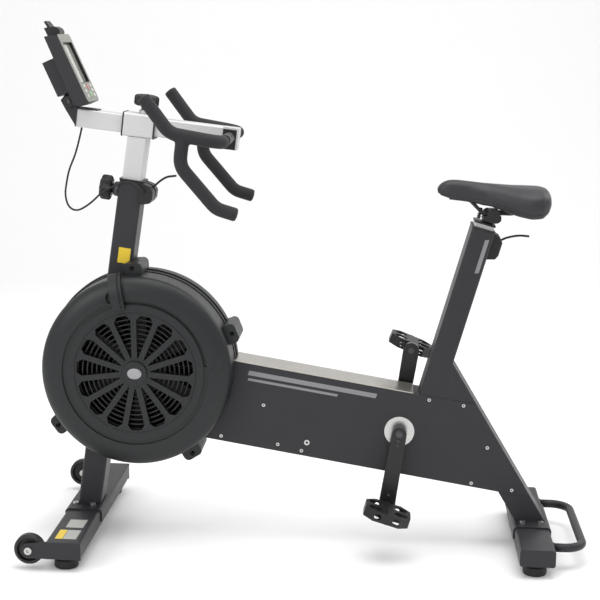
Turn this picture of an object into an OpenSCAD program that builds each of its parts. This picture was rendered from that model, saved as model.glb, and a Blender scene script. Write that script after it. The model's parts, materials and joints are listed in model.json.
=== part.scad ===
// Air bike: an upright exercise bike whose cranks drive a shrouded fan through two belts.
// Frame: X points to the rear, Y to the rider's right, Z up. The origin is on the floor, midway
// between the front of the transport wheels and the back of the rear handle. Millimetres.

/* [Stance] */
// Overall length, from transport wheels to rear handle
overall_len = 1288; // [1284:1:1296]
// Length of the front floor beam, across the bike
front_beam_len = 616; // [600:2:640]
// Length of the rear floor beam, across the bike
rear_beam_len = 470; // [440:2:500]
// Distance of the front beam ahead of the origin
front_beam_x = 532.5; // [531:0.5:534]
// Distance of the rear beam behind the origin
rear_beam_x = 522.5; // [521:0.5:524]
// Height of the rubber feet
foot_h = 28; // [26:1:30]
// Diameter of the rubber feet
foot_d = 54; // [44:1:60]
// Radius of the transport wheels
wheel_r = 34; // [30:1:34]

/* [Fan] */
// Distance of the fan axle ahead of the origin
fan_x = 402.5; // [401:0.5:404]
// Height of the fan axle
fan_z = 415.5; // [412:0.5:418]
// Radius of the fan housing
shell_r = 221; // [220:0.5:222]
// Depth of the left half of the fan housing, from the middle plane
left_depth = 127; // [124:1:130]
// Depth of the right half of the fan housing, from the middle plane
right_depth = 86; // [84:1:90]
// Number of air openings in each face of the housing
vent_count = 15; // [12:1:18]
// Number of blades on the fan
blade_count = 30; // [20:1:36]

/* [Drive] */
// Length of a crank, from axle to pedal
crank_len = 170; // [165:1:175]
// Distance of the crank axle behind the origin
crank_x = 207.5; // [205:0.5:210]
// Height of the crank axle
crank_z = 279.5; // [276:0.5:282]
// Angle of the left crank forward of straight down
crank_angle = 8; // [0:1:20]
// Width of the frame box
frame_w = 90; // [88:2:94]

/* [Posts] */
// Rearward lean of the handlebar post
post_lean = 7.45; // [7.4:0.05:7.5]
// Rearward lean of the seat tube
seat_lean = 15.2; // [15:0.1:15.4]
// Downward slope of the handlebar slider to the rear
slider_drop = 5.8; // [5.6:0.1:6]
// Backward tilt of the console from upright
console_tilt = 25.2; // [20:0.2:28]

/* [Handlebar] */
// Distance between the two grips
grip_span = 390; // [380:2:400]
// Diameter of the grips
grip_d = 30; // [28:1:32]

/* [Hidden] */

$fn = 64;
big = 400;
paint = "#3e3e42";
plastic = "#2b2c2e";
steel = "#c9c9c9";
foam = "#242628";

// Floor beams
beam_w = 80;
beam_h = 40;
beam_r = 6;
beam_wall = 3;
beam_z = foot_h + beam_h / 2;
beam_top = foot_h + beam_h;
plate_t = 4;
front_foot_y = front_beam_len / 2 - 40;
rear_foot_y = rear_beam_len / 2 - 40;
wheel_w = 24;
wheel_gap = 0.8;
wheel_x = -overall_len / 2 + wheel_r;
wheel_z = 46.5;
wheel_y = front_beam_len / 2 - plate_t - wheel_gap - wheel_w / 2;
axle_bolt_r = 5;
front_saddle_y = 81;
rear_saddle_y = 90;
saddle_drop = 26;
front_bolts = [-558, -517];
front_bolt_y = 47;
rear_bolts = [502, 544];
rear_bolt_y = 60;

// Rear handle
handle_r = 10;
handle_y = 160;
handle_z = 50;
handle_bend = 45;

// Handlebar post and its tube, in a frame whose Z runs up the leaning post
post_foot = [-528, 0, beam_top];
post_x = 55;
post_y = 72;
post_r = 6;
post_wall = 2.5;
post_top = 785;
cap_t = 4;
bar_x = 45;
bar_y = 62;
bar_r = 4;
bar_low = 600;
sleeve_gap = 0.4;
knob_up = 759;
knob_r = 29;
knob_boss_r = 15;
screw_r = 5;

// Handlebar slider and its head, in a frame whose X runs down the slider to the rear
tee_place = [-410.5, 0, 974.5];
tee_len = 70;
tee_h = 54;
tee_w = 66;
tee_r = 6;
trim_t = 3;
slider_h = 42;
slider_w = 50;
slider_r = 4;
slider_wall = 2.5;
slider_front = -144;
slider_rear = 194;
clamp_len = 36;
clamp_h = 50;
tee_knob_x = 9;
cross_at = [210.5, -1.5];
cross_r = 12.7;
cross_half = 120;

// Console, in a frame whose Z runs up the tilted face and whose origin is the tilt pin
console_pin = [-569.5, 0, 1026];
console_w = 120;
case_back = 16;
case_low = -22;
case_top = 146;
face_n = 45;
bezel_t = 2;
window_y = 47;
window_z = [25, 125];
window_deep = 5;
ear_in = 22;
ear_out = 27;
button_r = 7;
key_r = 4;
button_gap = 0.4;
button_rise = 1.5;

// Fan housing and drive
shell_wall = 4;
edge_r = 50;
left_edge = 28;
right_edge = 47;
seam = 0.5;
lug_angles = [93.5, 22.5, -57, -143];
vent_in = 36;
vent_out = 135;
spoke_w = 13;
spoke_phase = 19.6;
slot_in = 161;
slot_out = 167;
plate_in = post_y / 2;
plate_out = plate_in + 6;
plate_r = 210;
stub_r = 184;
rotor_r = 178;
box_front_r = plate_r + 1;
shaft_r = 8;
crank_shaft_r = 10;
bearing_r = 16;
cup_r = 24;
disc_r = 35;
play = 0.05;
counter_at = [-4.5, 308.5];
fan_at = [-fan_x, fan_z];
crank_at = [crank_x, crank_z];
crank_pulley_r = 80;
counter_small_r = 24;
counter_big_r = 70;
fan_pulley_r = 22;
belt_t = 3;
belt_gap = 0.3;
first_belt_y = [-8, 6];
second_belt_y = [20, 32];
crank_in = 64;
crank_out = 78;
spindle_r = 7;
pedal_in = 103;
pedal_out = 193;
pedal_half = 53;
left_pedal_tilt = 16;
right_pedal_tilt = 21;

// Frame box, seat tube and rear leg
half_w = frame_w / 2;
wall = 3;
cover_t = 2;
box_slope = -0.152;
leg_slope = -0.616;
leg_w = 70;
leg_foot_z = beam_top + plate_t;
leg_foot_x = 555.5;
leg_corner_z = 141;
seat_foot = [276.5, 0, 360];
seat_x = 53;
seat_r = 6;
seat_wall = 2;
seat_top = 410;
seat_bar_x = 46;
seat_bar_y = 60;
seat_bar_r = 4;
seat_bar_low = 40;
seat_bar_top = 422.5;

// Cable from under the slider, over the left face of the post, into the side of its clamp
cable_r = 2.25;
cable_route = [
    [-545.5, -8, 965.5], [-551.5, -8, 940], [-556.5, -9, 920], [-562.5, -10, 900],
    [-574.5, -13, 868], [-580.5, -16, 838], [-582.5, -20, 812], [-576.5, -24, 789],
    [-564.5, -28, 778], [-550.5, -31, 777], [-535.5, -34, 784], [-516.5, -37, 798],
    [-498.5, -40, 815], [-483.5, -42, 826], [-466.5, -42.5, 835], [-451.5, -43, 842],
    [-436.5, -44, 846], [-423.5, -46, 845], [-412, -48.5, 840], [-401, -50.5, 830.5],
    [-398, -49, 827], [-396, -46, 824.5], [-395, -41.5, 823.5], [-395, -39.8, 823.5]
];

// Pins of the two clamp levers: place behind a tube's middle line, then up along it
post_lever_pin = [post_x / 2 + 12.5, 768];
seat_lever_pin = [seat_x / 2 + 13, 386];

// Damper: where its lever rests, and how far it turns back from there
damper_from = 102;
damper_travel = 90;

// Console buttons and keys, in the console's Y and Z
stop_at = [0, 14];
start_at = [0, -5];
key_at = [for (y = [-34, 34], z = [17, 5, -7]) [y, z]];

// Saddle rails, and the head and clamp that hold them
tilt_up = 446;
tilt_pin_r = 5;
tilt_pin_half = 18;
head_half = 12.5;
clamp_x = [392, 418];
rail_z = 793;
rail_y = 22;
rail_r = 3.5;

// Screws through the side covers, in X and Z
cover_screws = [
    [-210.5, 253], [-111.5, 331], [-76.5, 237.5], [-20.5, 224], [274.5, 357], [354.5, 346],
    [379.5, 160], [413.5, 247], [474.5, 146.5]
];

// ---------- functions ----------

function unit(v) = v / norm(v);
function left_of(v) = [-v[1], v[0]];
function cross2(u, v) = u[0] * v[1] - u[1] * v[0];
function box_top_z(x) = 406.3 + box_slope * x;
function box_low_z(x) = 209.3 + box_slope * x;
function leg_rear_x(z) = leg_foot_x + leg_slope * (z - leg_foot_z);

// Where the line through p along u meets the line through q along v
function meet(p, u, q, v) = p + u * cross2(q - p, v) / cross2(u, v);

// A convex anticlockwise outline with every side moved inwards by t
function inset(pts, t) =
    let (n = len(pts))
    [for (i = [0 : n - 1])
        let (a = pts[(i + n - 1) % n], b = pts[i], c = pts[(i + 1) % n])
        meet(a + left_of(unit(b - a)) * t, b - a, b + left_of(unit(c - b)) * t, c - b)];

// Points on an arc, from angle a0 to a1
function arc(centre, r, a0, a1, steps) =
    oval(centre, r, r, a0, a1, steps);

// Points along part of an ellipse about centre, from angle a0 to a1
function oval(centre, rx, ry, a0, a1, steps) =
    [for (i = [0 : steps]) let (a = a0 + (a1 - a0) * i / steps)
        centre + [rx * cos(a), ry * sin(a)]];

// Points round the corner at b of the path a, b, c, with a bend of radius r
function bend(a, b, c, r, steps) =
    let (u = unit(a - b), v = unit(c - b), half = acos(u * v) / 2, reach = r / tan(half),
         middle = b + unit(u + v) * r / sin(half), p = b + u * reach - middle,
         q = b + v * reach - middle, turn = 180 - 2 * half)
    [for (i = [0 : steps])
        middle + (p * sin(turn * (1 - i / steps)) + q * sin(turn * i / steps)) / sin(turn)];

// A direction carried along a path without twisting
function carry(side, way) = unit(side - way * (side * way));
function path_way(path, i) =
    unit(path[min(i + 1, len(path) - 1)] - path[max(i - 1, 0)]);
function path_sides(path, side, i = 0) =
    i == len(path) ? [] :
    let (s = carry(side, path_way(path, i))) concat([s], path_sides(path, s, i + 1));

// ---------- helpers ----------

// A tube of radius r along a path
module sweep(path, r, facets, side) {
    sides = path_sides(path, side);
    rings = [for (i = [0 : len(path) - 1])
        let (w = path_way(path, i), a = sides[i], b = cross(w, a))
        for (k = [0 : facets - 1])
            path[i] + r * (a * cos(360 * k / facets) + b * sin(360 * k / facets))];
    last = (len(path) - 1) * facets;
    polyhedron(
        points = rings,
        faces = concat(
            [[for (k = [0 : facets - 1]) k]],
            [[for (k = [facets - 1 : -1 : 0]) last + k]],
            [for (i = [0 : len(path) - 2], k = [0 : facets - 1])
                let (n = (k + 1) % facets, j = i * facets)
                [j + k, j + facets + k, j + facets + n, j + n]]));
}

// An outline in X and Z, extruded from y0 to y1
module slab(pts, y0, y1) {
    along_y(y0, y1) polygon(pts);
}

// A flat shape in X and Z, extruded from y0 to y1
module along_y(y0, y1) {
    translate([0, y1, 0]) rotate([90, 0, 0]) linear_extrude(y1 - y0) children();
}

// A flat shape in Y and Z, extruded from x0 to x1
module along_x(x0, x1) {
    translate([x0, 0, 0]) rotate([90, 0, 90]) linear_extrude(x1 - x0) children();
}

// A rectangle with round corners, centred on the origin
module rounded(x, y, r) {
    square([x - 2 * r, y], center = true);
    square([x, y - 2 * r], center = true);
    for (sx = [-1, 1], sy = [-1, 1])
        translate([sx * (x / 2 - r), sy * (y / 2 - r)]) circle(r, $fn = 32);
}

// A rod of radius r along Y through a point in X and Z
module rod(at, r, y0, y1) {
    translate([at[0], 0, at[1]]) along_y(y0, y1) circle(r);
}

// A ring around Y
module ring(at, r_out, r_in, y0, y1) {
    translate([at[0], 0, at[1]]) along_y(y0, y1) difference() {
        circle(r_out);
        circle(r_in);
    }
}

// Two copies, one on each side of the bike
module both_sides() {
    children();
    mirror([0, 1, 0]) children();
}

// A straight box tube along Z, with corners of radius r and walls of thickness t
module box_tube(x, y, r, z0, z1, t) {
    translate([0, 0, z0]) linear_extrude(z1 - z0) difference() {
        rounded(x, y, r);
        rounded(x - 2 * t, y - 2 * t, r - t);
    }
}

module block(x, y, z) {
    translate([x[0], y[0], z[0]]) cube([x[1] - x[0], y[1] - y[0], z[1] - z[0]]);
}

module post_frame() {
    translate(post_foot) rotate([0, post_lean, 0]) children();
}

module seat_frame() {
    translate(seat_foot) rotate([0, seat_lean, 0]) children();
}

module slider_frame() {
    translate(tee_place) rotate([0, slider_drop, 0]) children();
}

module console_frame() {
    translate(console_pin) rotate([0, -console_tilt, 0]) children();
}

// A flat bar with round ends of two radii
module link(a, r_a, b, r_b, y0, y1) {
    along_y(y0, y1) link_outline(a, r_a, b, r_b);
}

module link_outline(a, r_a, b, r_b) {
    d = unit(b - a);
    lean = acos((r_a - r_b) / norm(b - a));
    up = [d[0] * cos(lean) - d[1] * sin(lean), d[0] * sin(lean) + d[1] * cos(lean)];
    down = [d[0] * cos(lean) + d[1] * sin(lean), -d[0] * sin(lean) + d[1] * cos(lean)];
    translate(a) circle(r_a);
    translate(b) circle(r_b);
    polygon([a + up * r_a, a + down * r_a, b + down * r_b, b + up * r_b]);
}

// A hand knob with round lobes, rising from z = 0
module star(r, lobes, height) {
    lobe_r = 0.26 * r;
    linear_extrude(height) {
        circle(0.8 * r);
        for (k = [0 : lobes - 1])
            rotate(360 * k / lobes) translate([r - lobe_r, 0]) circle(lobe_r);
    }
}

// A screw head with a hexagon socket, on the +Y side of the plane y = 0
module screw_head(at, r, height) {
    translate([at[0], 0, at[1]]) along_y(0, height) difference() {
        circle(r);
        circle(0.5 * r, $fn = 6);
    }
}

// ---------- floor beams, feet and wheels ----------

module beam(x, length) {
    translate([x, 0, beam_z]) difference() {
        along_y(-length / 2, length / 2) rounded(beam_w, beam_h, beam_r);
        along_y(-length / 2 + beam_wall, length / 2 - beam_wall)
            rounded(beam_w - 2 * beam_wall, beam_h - 2 * beam_wall, beam_r - beam_wall);
    }
}

// Front beam, with end plates that reach forward to the wheels' axles
module front_beam() {
    color(paint) {
        beam(-front_beam_x, front_beam_len - 2 * plate_t);
        both_sides() wheel_plate();
    }
}

module wheel_plate() {
    y0 = front_beam_len / 2 - plate_t;
    tip_r = 17;
    rear = -front_beam_x + beam_w / 2;
    along_y(y0, y0 + plate_t) difference() {
        union() {
            translate([wheel_x, wheel_z]) circle(tip_r);
            polygon([[wheel_x, wheel_z + tip_r], [wheel_x, wheel_z - tip_r],
                     [-front_beam_x, foot_h], [rear, foot_h], [rear, beam_top],
                     [-front_beam_x - beam_w / 2, beam_top]]);
        }
        translate([wheel_x, wheel_z]) circle(axle_bolt_r);
    }
}

module rear_beam() {
    color(paint) beam(rear_beam_x, rear_beam_len);
}

module foot() {
    foot_neck = 5;
    rotate_extrude() polygon([
        [0, 0], [foot_d / 2 - 2, 0], [foot_d / 2, 3], [foot_d / 2, foot_h - foot_neck - 4],
        [foot_d / 2 - 5, foot_h - foot_neck], [foot_d / 2 - 5, foot_h], [0, foot_h]]);
}

module rubber_feet() {
    color(plastic) both_sides() {
        translate([-front_beam_x, front_foot_y, 0]) foot();
        translate([rear_beam_x - 2, rear_foot_y, 0]) foot();
    }
}

module wheel() {
    color(plastic) translate([wheel_x, wheel_y, wheel_z]) rotate([-90, 0, 0])
        rotate_extrude() polygon([
            [axle_bolt_r + play, -9], [13, -9], [13, -5], [24, -5], [26, -wheel_w / 2],
            [wheel_r - 4, -wheel_w / 2], [wheel_r, -8], [wheel_r, 8],
            [wheel_r - 4, wheel_w / 2], [26, wheel_w / 2], [24, 5], [13, 5], [13, 9],
            [axle_bolt_r + play, 9]]);
}

module left_wheel() {
    mirror([0, 1, 0]) wheel();
}

module right_wheel() {
    wheel();
}

module rear_handle() {
    corner_x = overall_len / 2 - handle_r;
    start_x = rear_beam_x + beam_w / 2;
    a = [start_x, -handle_y, handle_z];
    b = [corner_x, -handle_y, handle_z];
    c = [corner_x, handle_y, handle_z];
    d = [start_x, handle_y, handle_z];
    color(paint)
        sweep(concat([a], bend(a, b, c, handle_bend, 8), bend(b, c, d, handle_bend, 8), [d]),
              handle_r, 16, [0, 0, 1]);
}

// ---------- frame ----------

// Where the front line of the rear leg meets the top line of the box
function box_corner() =
    meet([leg_foot_x - leg_w, leg_foot_z], [leg_slope, 1], [0, box_top_z(0)], [1, box_slope]);

function box_outline() = [
    [-300, box_low_z(-300)], [leg_rear_x(leg_corner_z) - leg_w, leg_corner_z],
    box_corner(), [-300, box_top_z(-300)]
];

// Where the front (side -1) or rear (side 1) of the seat tube meets the top line of the box
function seat_base(side) =
    meet([seat_foot[0] + side * seat_x / 2 / cos(seat_lean), seat_foot[2]],
         [tan(seat_lean), 1], [0, box_top_z(0)], [1, box_slope]);

// Where the rear of the seat tube meets the rear line of the leg
function leg_join() =
    meet(seat_base(1), [tan(seat_lean), 1], [leg_foot_x, leg_foot_z], [leg_slope, 1]);

// How far up the seat tube the side-view point p lies
function seat_up(p) =
    (p[0] - seat_foot[0]) * sin(seat_lean) + (p[1] - seat_foot[2]) * cos(seat_lean);

// Side-view place of a point that is x behind the seat tube's middle line and z up along it
function from_seat(x, z) =
    [seat_foot[0] + z * sin(seat_lean) + x * cos(seat_lean),
     seat_foot[2] + z * cos(seat_lean) - x * sin(seat_lean)];

function leg_outline() = [
    [leg_foot_x - leg_w, leg_foot_z], [leg_foot_x, leg_foot_z], leg_join(), seat_base(1),
    box_corner()
];

function leg_hollow() =
    let (nook = meet(seat_base(1), [tan(seat_lean), 1], box_corner(), [leg_slope, 1]))
    inset([[leg_foot_x - leg_w, leg_foot_z], [leg_foot_x, leg_foot_z], leg_join(), nook], wall);

// The U-shaped bracket that lands a post or leg on a floor beam
module beam_saddle(x, half_y) {
    translate([x, 0, 0]) along_y(-half_y, half_y) difference() {
        translate([0, beam_z])
            rounded(beam_w + 2 * plate_t, beam_h + 2 * plate_t, beam_r + plate_t);
        translate([0, beam_z]) rounded(beam_w, beam_h, beam_r);
        translate([-beam_w, 0]) square([2 * beam_w, beam_top - saddle_drop]);
    }
}

// The handlebar post as one straight tube, before the fan is cut out of it
module whole_post() {
    difference() {
        post_frame() box_tube(post_x, post_y, post_r, -20, post_top, post_wall);
        rod(fan_at, stub_r, -post_y, post_y);
        block([-big * 2, 0], [-big, big], [-100, beam_top + plate_t]);
    }
}

module lower_front_post() {
    color(paint) {
        intersection() {
            whole_post();
            block([-big * 2, 0], [-big, big], [0, fan_z]);
        }
        beam_saddle(-front_beam_x, front_saddle_y);
    }
}

module upper_front_post() {
    color(paint) difference() {
        union() {
            intersection() {
                whole_post();
                block([-big * 2, 0], [-big, big], [fan_z, big * 3]);
            }
            post_frame() translate([-post_x / 2, 0, knob_up]) rotate([0, -90, 0])
                cylinder(r = knob_boss_r, h = 15);
        }
        post_frame() translate([0, 0, knob_up]) rotate([0, -90, 0])
            cylinder(r = screw_r + play, h = 100);
    }
}

// Two plates that carry the posts and the frame box around the fan
module fork_plates() {
    tab_x = -150;
    window_in = 62;
    window_out = 160;
    color(paint) both_sides() difference() {
        union() {
            along_y(plate_in, plate_out) difference() {
                union() {
                    translate(fan_at) circle(plate_r);
                    polygon([
                        [-300, box_low_z(-300) + wall + 1], [tab_x, box_low_z(tab_x) + wall + 1],
                        [tab_x, box_top_z(tab_x) - wall - 1], [-300, box_top_z(-300) - wall - 1]]);
                }
                translate(fan_at) for (k = [0 : 5]) rotate(60 * k + 30) difference() {
                    circle(window_out);
                    circle(window_in);
                    translate([-big, -big - 10]) square([2 * big, big + 24]);
                    rotate(60) translate([-big, -14]) square([2 * big, big + 24]);
                }
            }
            rod(fan_at, bearing_r + 8, plate_out - 1, plate_out + 8);
        }
        rod(fan_at, bearing_r + play, 0, big);
    }
}

module bearing_seat(at) {
    ring(at, bearing_r + 5, bearing_r + play, half_w - wall - 9, half_w - wall + 1);
}

module frame_box() {
    color(paint) difference() {
        union() {
            difference() {
                slab(box_outline(), -half_w, half_w);
                slab(inset(box_outline(), wall), -half_w + wall, half_w - wall);
            }
            both_sides() bearing_seat(counter_at);
        }
        rod(fan_at, box_front_r, -big, big);
        rod(crank_at, cup_r + play, -big, big);
        rod(counter_at, bearing_r + play, -half_w + 1, half_w - 1);
    }
}

// Sheet cover over each side of the box and the head of the rear leg
module side_covers() {
    rear_z = 350;
    low_z = 131;
    outline = [
        [-300, box_low_z(-300)], [leg_rear_x(leg_corner_z) - leg_w, leg_corner_z],
        [leg_rear_x(low_z), low_z], [leg_rear_x(rear_z), rear_z], seat_base(-1),
        [-300, box_top_z(-300)]
    ];
    color(paint) both_sides() difference() {
        slab(outline, half_w, half_w + cover_t);
        rod(fan_at, box_front_r, -big, big);
        rod(crank_at, cup_r + play, -big, big);
    }
}

// Folded steel strip along the top of the box
module top_cover() {
    strip_t = 2.5;
    end_x = seat_base(-1)[0] - 14;
    half = half_w + cover_t;
    color(steel) difference() {
        slab([[-300, box_top_z(-300)], [end_x, box_top_z(end_x)],
              [end_x, box_top_z(end_x) + strip_t], [-300, box_top_z(-300) + strip_t]],
             -half, half);
        rod(fan_at, box_front_r, -big, big);
    }
}

module seat_tube() {
    weld_top = seat_up(leg_join());
    color(paint) difference() {
        union() {
            seat_frame() box_tube(seat_x, frame_w, seat_r, -40, seat_top, seat_wall);
            both_sides() seat_frame() block([seat_x / 2 - seat_r, seat_x / 2],
                                            [half_w - seat_r, half_w], [-40, weld_top]);
        }
        slab([[0, -1], [big * 1.5, -1], [big * 1.5, box_top_z(big * 1.5)], [0, box_top_z(0)]],
             -big, big);
    }
}

module rear_leg() {
    color(paint) {
        difference() {
            slab(leg_outline(), -half_w, half_w);
            slab(leg_hollow(), -half_w + wall, half_w - wall);
        }
        beam_saddle(rear_beam_x, rear_saddle_y);
    }
}

// ---------- clamps and sleeves ----------

// A plastic liner at the top of an outer tube, with a cap that rests on its end.
// Each tube is given as its width in X, in Y and its corner radius.
module sleeve(outer, t, bar, top, depth) {
    difference() {
        union() {
            translate([0, 0, top - depth]) linear_extrude(depth)
                rounded(outer[0] - 2 * t, outer[1] - 2 * t, outer[2] - t);
            translate([0, 0, top]) linear_extrude(cap_t)
                rounded(outer[0] + 2, outer[1] + 2, outer[2] + 1);
        }
        translate([0, 0, top - depth - 1]) linear_extrude(depth + cap_t + 2)
            rounded(bar[0] + 2 * sleeve_gap, bar[1] + 2 * sleeve_gap, bar[2] + sleeve_gap);
    }
}

module tube_sleeves() {
    post_depth = post_top - knob_up - screw_r - 4;
    color(plastic) {
        post_frame()
            sleeve([post_x, post_y, post_r], post_wall, [bar_x, bar_y, bar_r], post_top,
                   post_depth);
        seat_frame()
            sleeve([seat_x, frame_w, seat_r], seat_wall, [seat_bar_x, seat_bar_y, seat_bar_r],
                   seat_top, 60);
    }
}

// Housing of a clamp lever, in a tube's own frame: a block with cut corners and a slot
module lever_housing(x0, z0, z1, depth, half_y, pivot) {
    slot_y = 6;
    difference() {
        slab([[x0, z0], [x0 + depth * 0.8, z0 + 6], [x0 + depth, z0 + 16],
              [x0 + depth, z1 - 16], [x0 + depth * 0.6, z1 - 4], [x0, z1]], -half_y, half_y);
        block([pivot[0] - 9, big], [-slot_y, slot_y], [pivot[1] - 14, big * 3]);
        rod(pivot, 4 + play, -half_y + 6, half_y - 6);
    }
}

// Clamp housing behind the post, with cheeks over the post's sides
module post_clamp_housing() {
    cheek_t = 3.5;
    x0 = post_x / 2;
    half_y = post_y / 2 + cheek_t;
    z1 = post_top - 0.5;
    color(plastic) post_frame() {
        lever_housing(x0, 735, z1, 26.5, half_y, post_lever_pin);
        both_sides() slab([[-2, z1], [-2, z1 - 3], [9, z1 - 5], [17, z1 - 12], [20, z1 - 24],
                           [22, 735], [x0, 735], [x0, z1]], post_y / 2, half_y);
    }
}

module seat_clamp_housing() {
    color(plastic) seat_frame()
        lever_housing(seat_x / 2, 346, seat_top - 0.5, 25, 24, seat_lever_pin);
}

// A clamp lever: pin, cam and a thin curved handle
module lever(pin, shape) {
    pin_half = 22;
    rod(pin, 4, -pin_half + 5, pin_half - 5);
    rod(pin, 8, -5, 5);
    start = [pin[0], 0, pin[1]];
    path = concat([start], [for (p = shape) start + [p[0], 0, p[1]]]);
    sweep(path, 3, 12, [0, 1, 0]);
}

module post_lever() {
    color(foam) post_frame()
        lever(post_lever_pin, [[5, 4], [14, 16], [24, 27], [36, 36], [48, 40], [57, 42]]);
}

module seat_lever() {
    color(foam) seat_frame()
        lever(seat_lever_pin, [[6, 7], [17, 17], [28, 24], [40, 30], [52, 34], [68, 37]]);
}

module knob(screw_len, stem_len, height) {
    translate([0, 0, -screw_len]) cylinder(r = screw_r, h = screw_len + 1);
    cylinder(r = 11, h = stem_len + 1);
    translate([0, 0, stem_len]) star(knob_r, 8, height);
}

module post_knob() {
    boss_end = post_x / 2 + 15.5;
    screw = boss_end - bar_x / 2 - 0.5;
    color(foam) post_frame() translate([-boss_end, 0, knob_up]) rotate([0, -90, 0])
        knob(screw, 4, 29);
}

// ---------- fan housing ----------

// Half of the housing's wall: distance from the axle, then distance from the middle plane
function shell_section(depth, edge) =
    let (centre = [shell_r - edge_r, depth - edge], groove = 3, skin = shell_wall + groove)
    concat(
        [[shell_r + 5, seam], [shell_r + 5, 11], [shell_r - groove, 11],
         [shell_r - groove, 14], [shell_r + 2, 14], [shell_r + 2, 30],
         [shell_r - groove, 30], [shell_r - groove, 34], [shell_r, 34]],
        oval(centre, edge_r, edge, 0, 90, 8),
        [[slot_out + 2, depth], [slot_out + 2, depth - 5], [slot_in - 2, depth - 5],
         [slot_in - 2, depth - 2], [28, depth - 2], [28, depth + 4], [0, depth + 4],
         [0, depth - 5], [slot_in - 5, depth - 5], [slot_in - 5, depth - 9],
         [slot_out + 4, depth - 9]],
        oval(centre, edge_r - skin, edge - shell_wall - 1, 90, 0, 8),
        [[shell_r - skin, seam]]);

// Lug that bolts the two halves together, with a pocket for the bolt's head
module lug(depth) {
    lug_h = 36;
    lug_w = 46;
    lug_r = 12;
    bolt_at = shell_r + 15;
    root = shell_r - shell_wall;
    difference() {
        along_y(seam, depth) difference() {
            translate([root + lug_h / 2 - 5, 0]) rounded(lug_h, lug_w, lug_r);
            circle(root);
            translate([bolt_at, 0]) circle(3.2);
        }
        rod([bolt_at, 0], 6.5, depth - 6, depth + 1);
    }
}

// The openings of a face: one between each two spokes, with cut outer corners
module vents() {
    corner = 11;
    difference() {
        circle(vent_out);
        circle(vent_in);
        for (k = [0 : vent_count - 1]) rotate(spoke_phase + 360 * k / vent_count) {
            translate([0, -spoke_w / 2]) square([vent_out + 1, spoke_w]);
            polygon([[vent_out - corner, -spoke_w / 2], [vent_out, -spoke_w / 2 - corner],
                     [vent_out + 2, -spoke_w / 2 - corner], [vent_out + 2, spoke_w / 2 + corner],
                     [vent_out, spoke_w / 2 + corner], [vent_out - corner, spoke_w / 2]]);
        }
    }
}

module fan_shell(depth, edge, lug_depth, has_slot) {
    color(plastic) difference() {
        union() {
            translate([-fan_x, 0, fan_z]) rotate([-90, 0, 0])
                rotate_extrude($fn = 96) polygon(shell_section(depth, edge));
            translate([-fan_x, 0, fan_z])
                for (a = lug_angles) rotate([0, -a, 0]) lug(lug_depth);
        }
        translate([-fan_x, 0, fan_z]) along_y(depth - 30, depth) vents();
        if (has_slot) damper_slot();
        post_frame() block([-post_x / 2 - 1, post_x / 2 + 1], [-1, plate_in + 1], [-50, 800]);
        slab([[-350, box_low_z(-350) - 1], [0, box_low_z(0) - 1], [0, box_top_z(0) + 5],
              [-350, box_top_z(-350) + 5]], -1, half_w + cover_t + 1);
    }
}

// The curved slot that the damper's stem slides in
module damper_slot() {
    slack = 5;
    steps = 24;
    translate([-fan_x, 0, fan_z]) along_y(left_depth - 30, left_depth + 1) polygon(concat(
        arc([0, 0], slot_out, damper_from + slack, damper_from - damper_travel - slack, steps),
        arc([0, 0], slot_in, damper_from - damper_travel - slack, damper_from + slack, steps)));
}

module left_fan_shell() {
    mirror([0, 1, 0]) fan_shell(left_depth, left_edge, 78, true);
}

module right_fan_shell() {
    fan_shell(right_depth, right_edge, 20, false);
}

// Concentric air guides behind the openings of each face
module inlet_grilles() {
    color(plastic) {
        mirror([0, 1, 0]) inlet_grille(left_depth - 22);
        inlet_grille(right_depth - 22);
    }
}

module inlet_grille(y0) {
    rings = 9;
    pitch = 11;
    translate([-fan_x, 0, fan_z]) along_y(y0, y0 + 8) {
        for (k = [0 : rings - 1]) difference() {
            circle(vent_out + 1 - pitch * k);
            circle(vent_out - 2 - pitch * k);
        }
        for (k = [0 : 4]) rotate(spoke_phase + 72 * k) translate([40, -1.5])
            square([vent_out - 40, 3]);
    }
}

// Damper: a ring behind the face, a stem through the slot and a grip over the housing's edge
module damper_lever() {
    gap = 0.6;
    edge = [shell_r - edge_r, left_depth - left_edge];
    thick = 9;
    half = 10;
    stem_in = slot_in + gap;
    stem_out = slot_out - gap;
    color(plastic) mirror([0, 1, 0]) {
        ring(fan_at, slot_out + 2, 150, left_depth - 12.5, left_depth - 9.8);
        translate([-fan_x, 0, fan_z]) along_y(left_depth - 12, left_depth + 4)
            rotate(damper_from) translate([stem_in, -4]) square([stem_out - stem_in, 8]);
        translate([-fan_x, 0, fan_z]) rotate([0, -damper_from, 0])
            translate([0, 0, half]) mirror([0, 0, 1]) linear_extrude(2 * half)
                polygon(concat(
                    [[150, left_depth + gap], [edge[0], left_depth + gap]],
                    oval(edge, edge_r + gap, left_edge + gap, 90, 10, 8),
                    oval(edge, edge_r + thick, left_edge + thick, 10, 90, 8),
                    [[158, left_depth + thick], [150, left_depth + 5]]));
    }
}

// ---------- drive ----------

module bearings() {
    color(steel) both_sides() {
        ring(crank_at, 17.5, crank_shaft_r + play, 32, 44);
        ring(counter_at, bearing_r, shaft_r + play, half_w - wall - 9, half_w - wall);
        ring(fan_at, bearing_r, shaft_r + play, plate_out - 4, plate_out + 8);
    }
}

// Crank bearing cups, with bright flanges outside the side covers
module bearing_cups() {
    cover = half_w + cover_t;
    color(steel) both_sides() difference() {
        union() {
            rod(crank_at, cup_r, 30, cover);
            rod(crank_at, disc_r, cover, cover + 3);
        }
        rod(crank_at, 17.5 + play, 31, 45);
        rod(crank_at, crank_shaft_r + 1, 0, big);
    }
}

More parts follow.
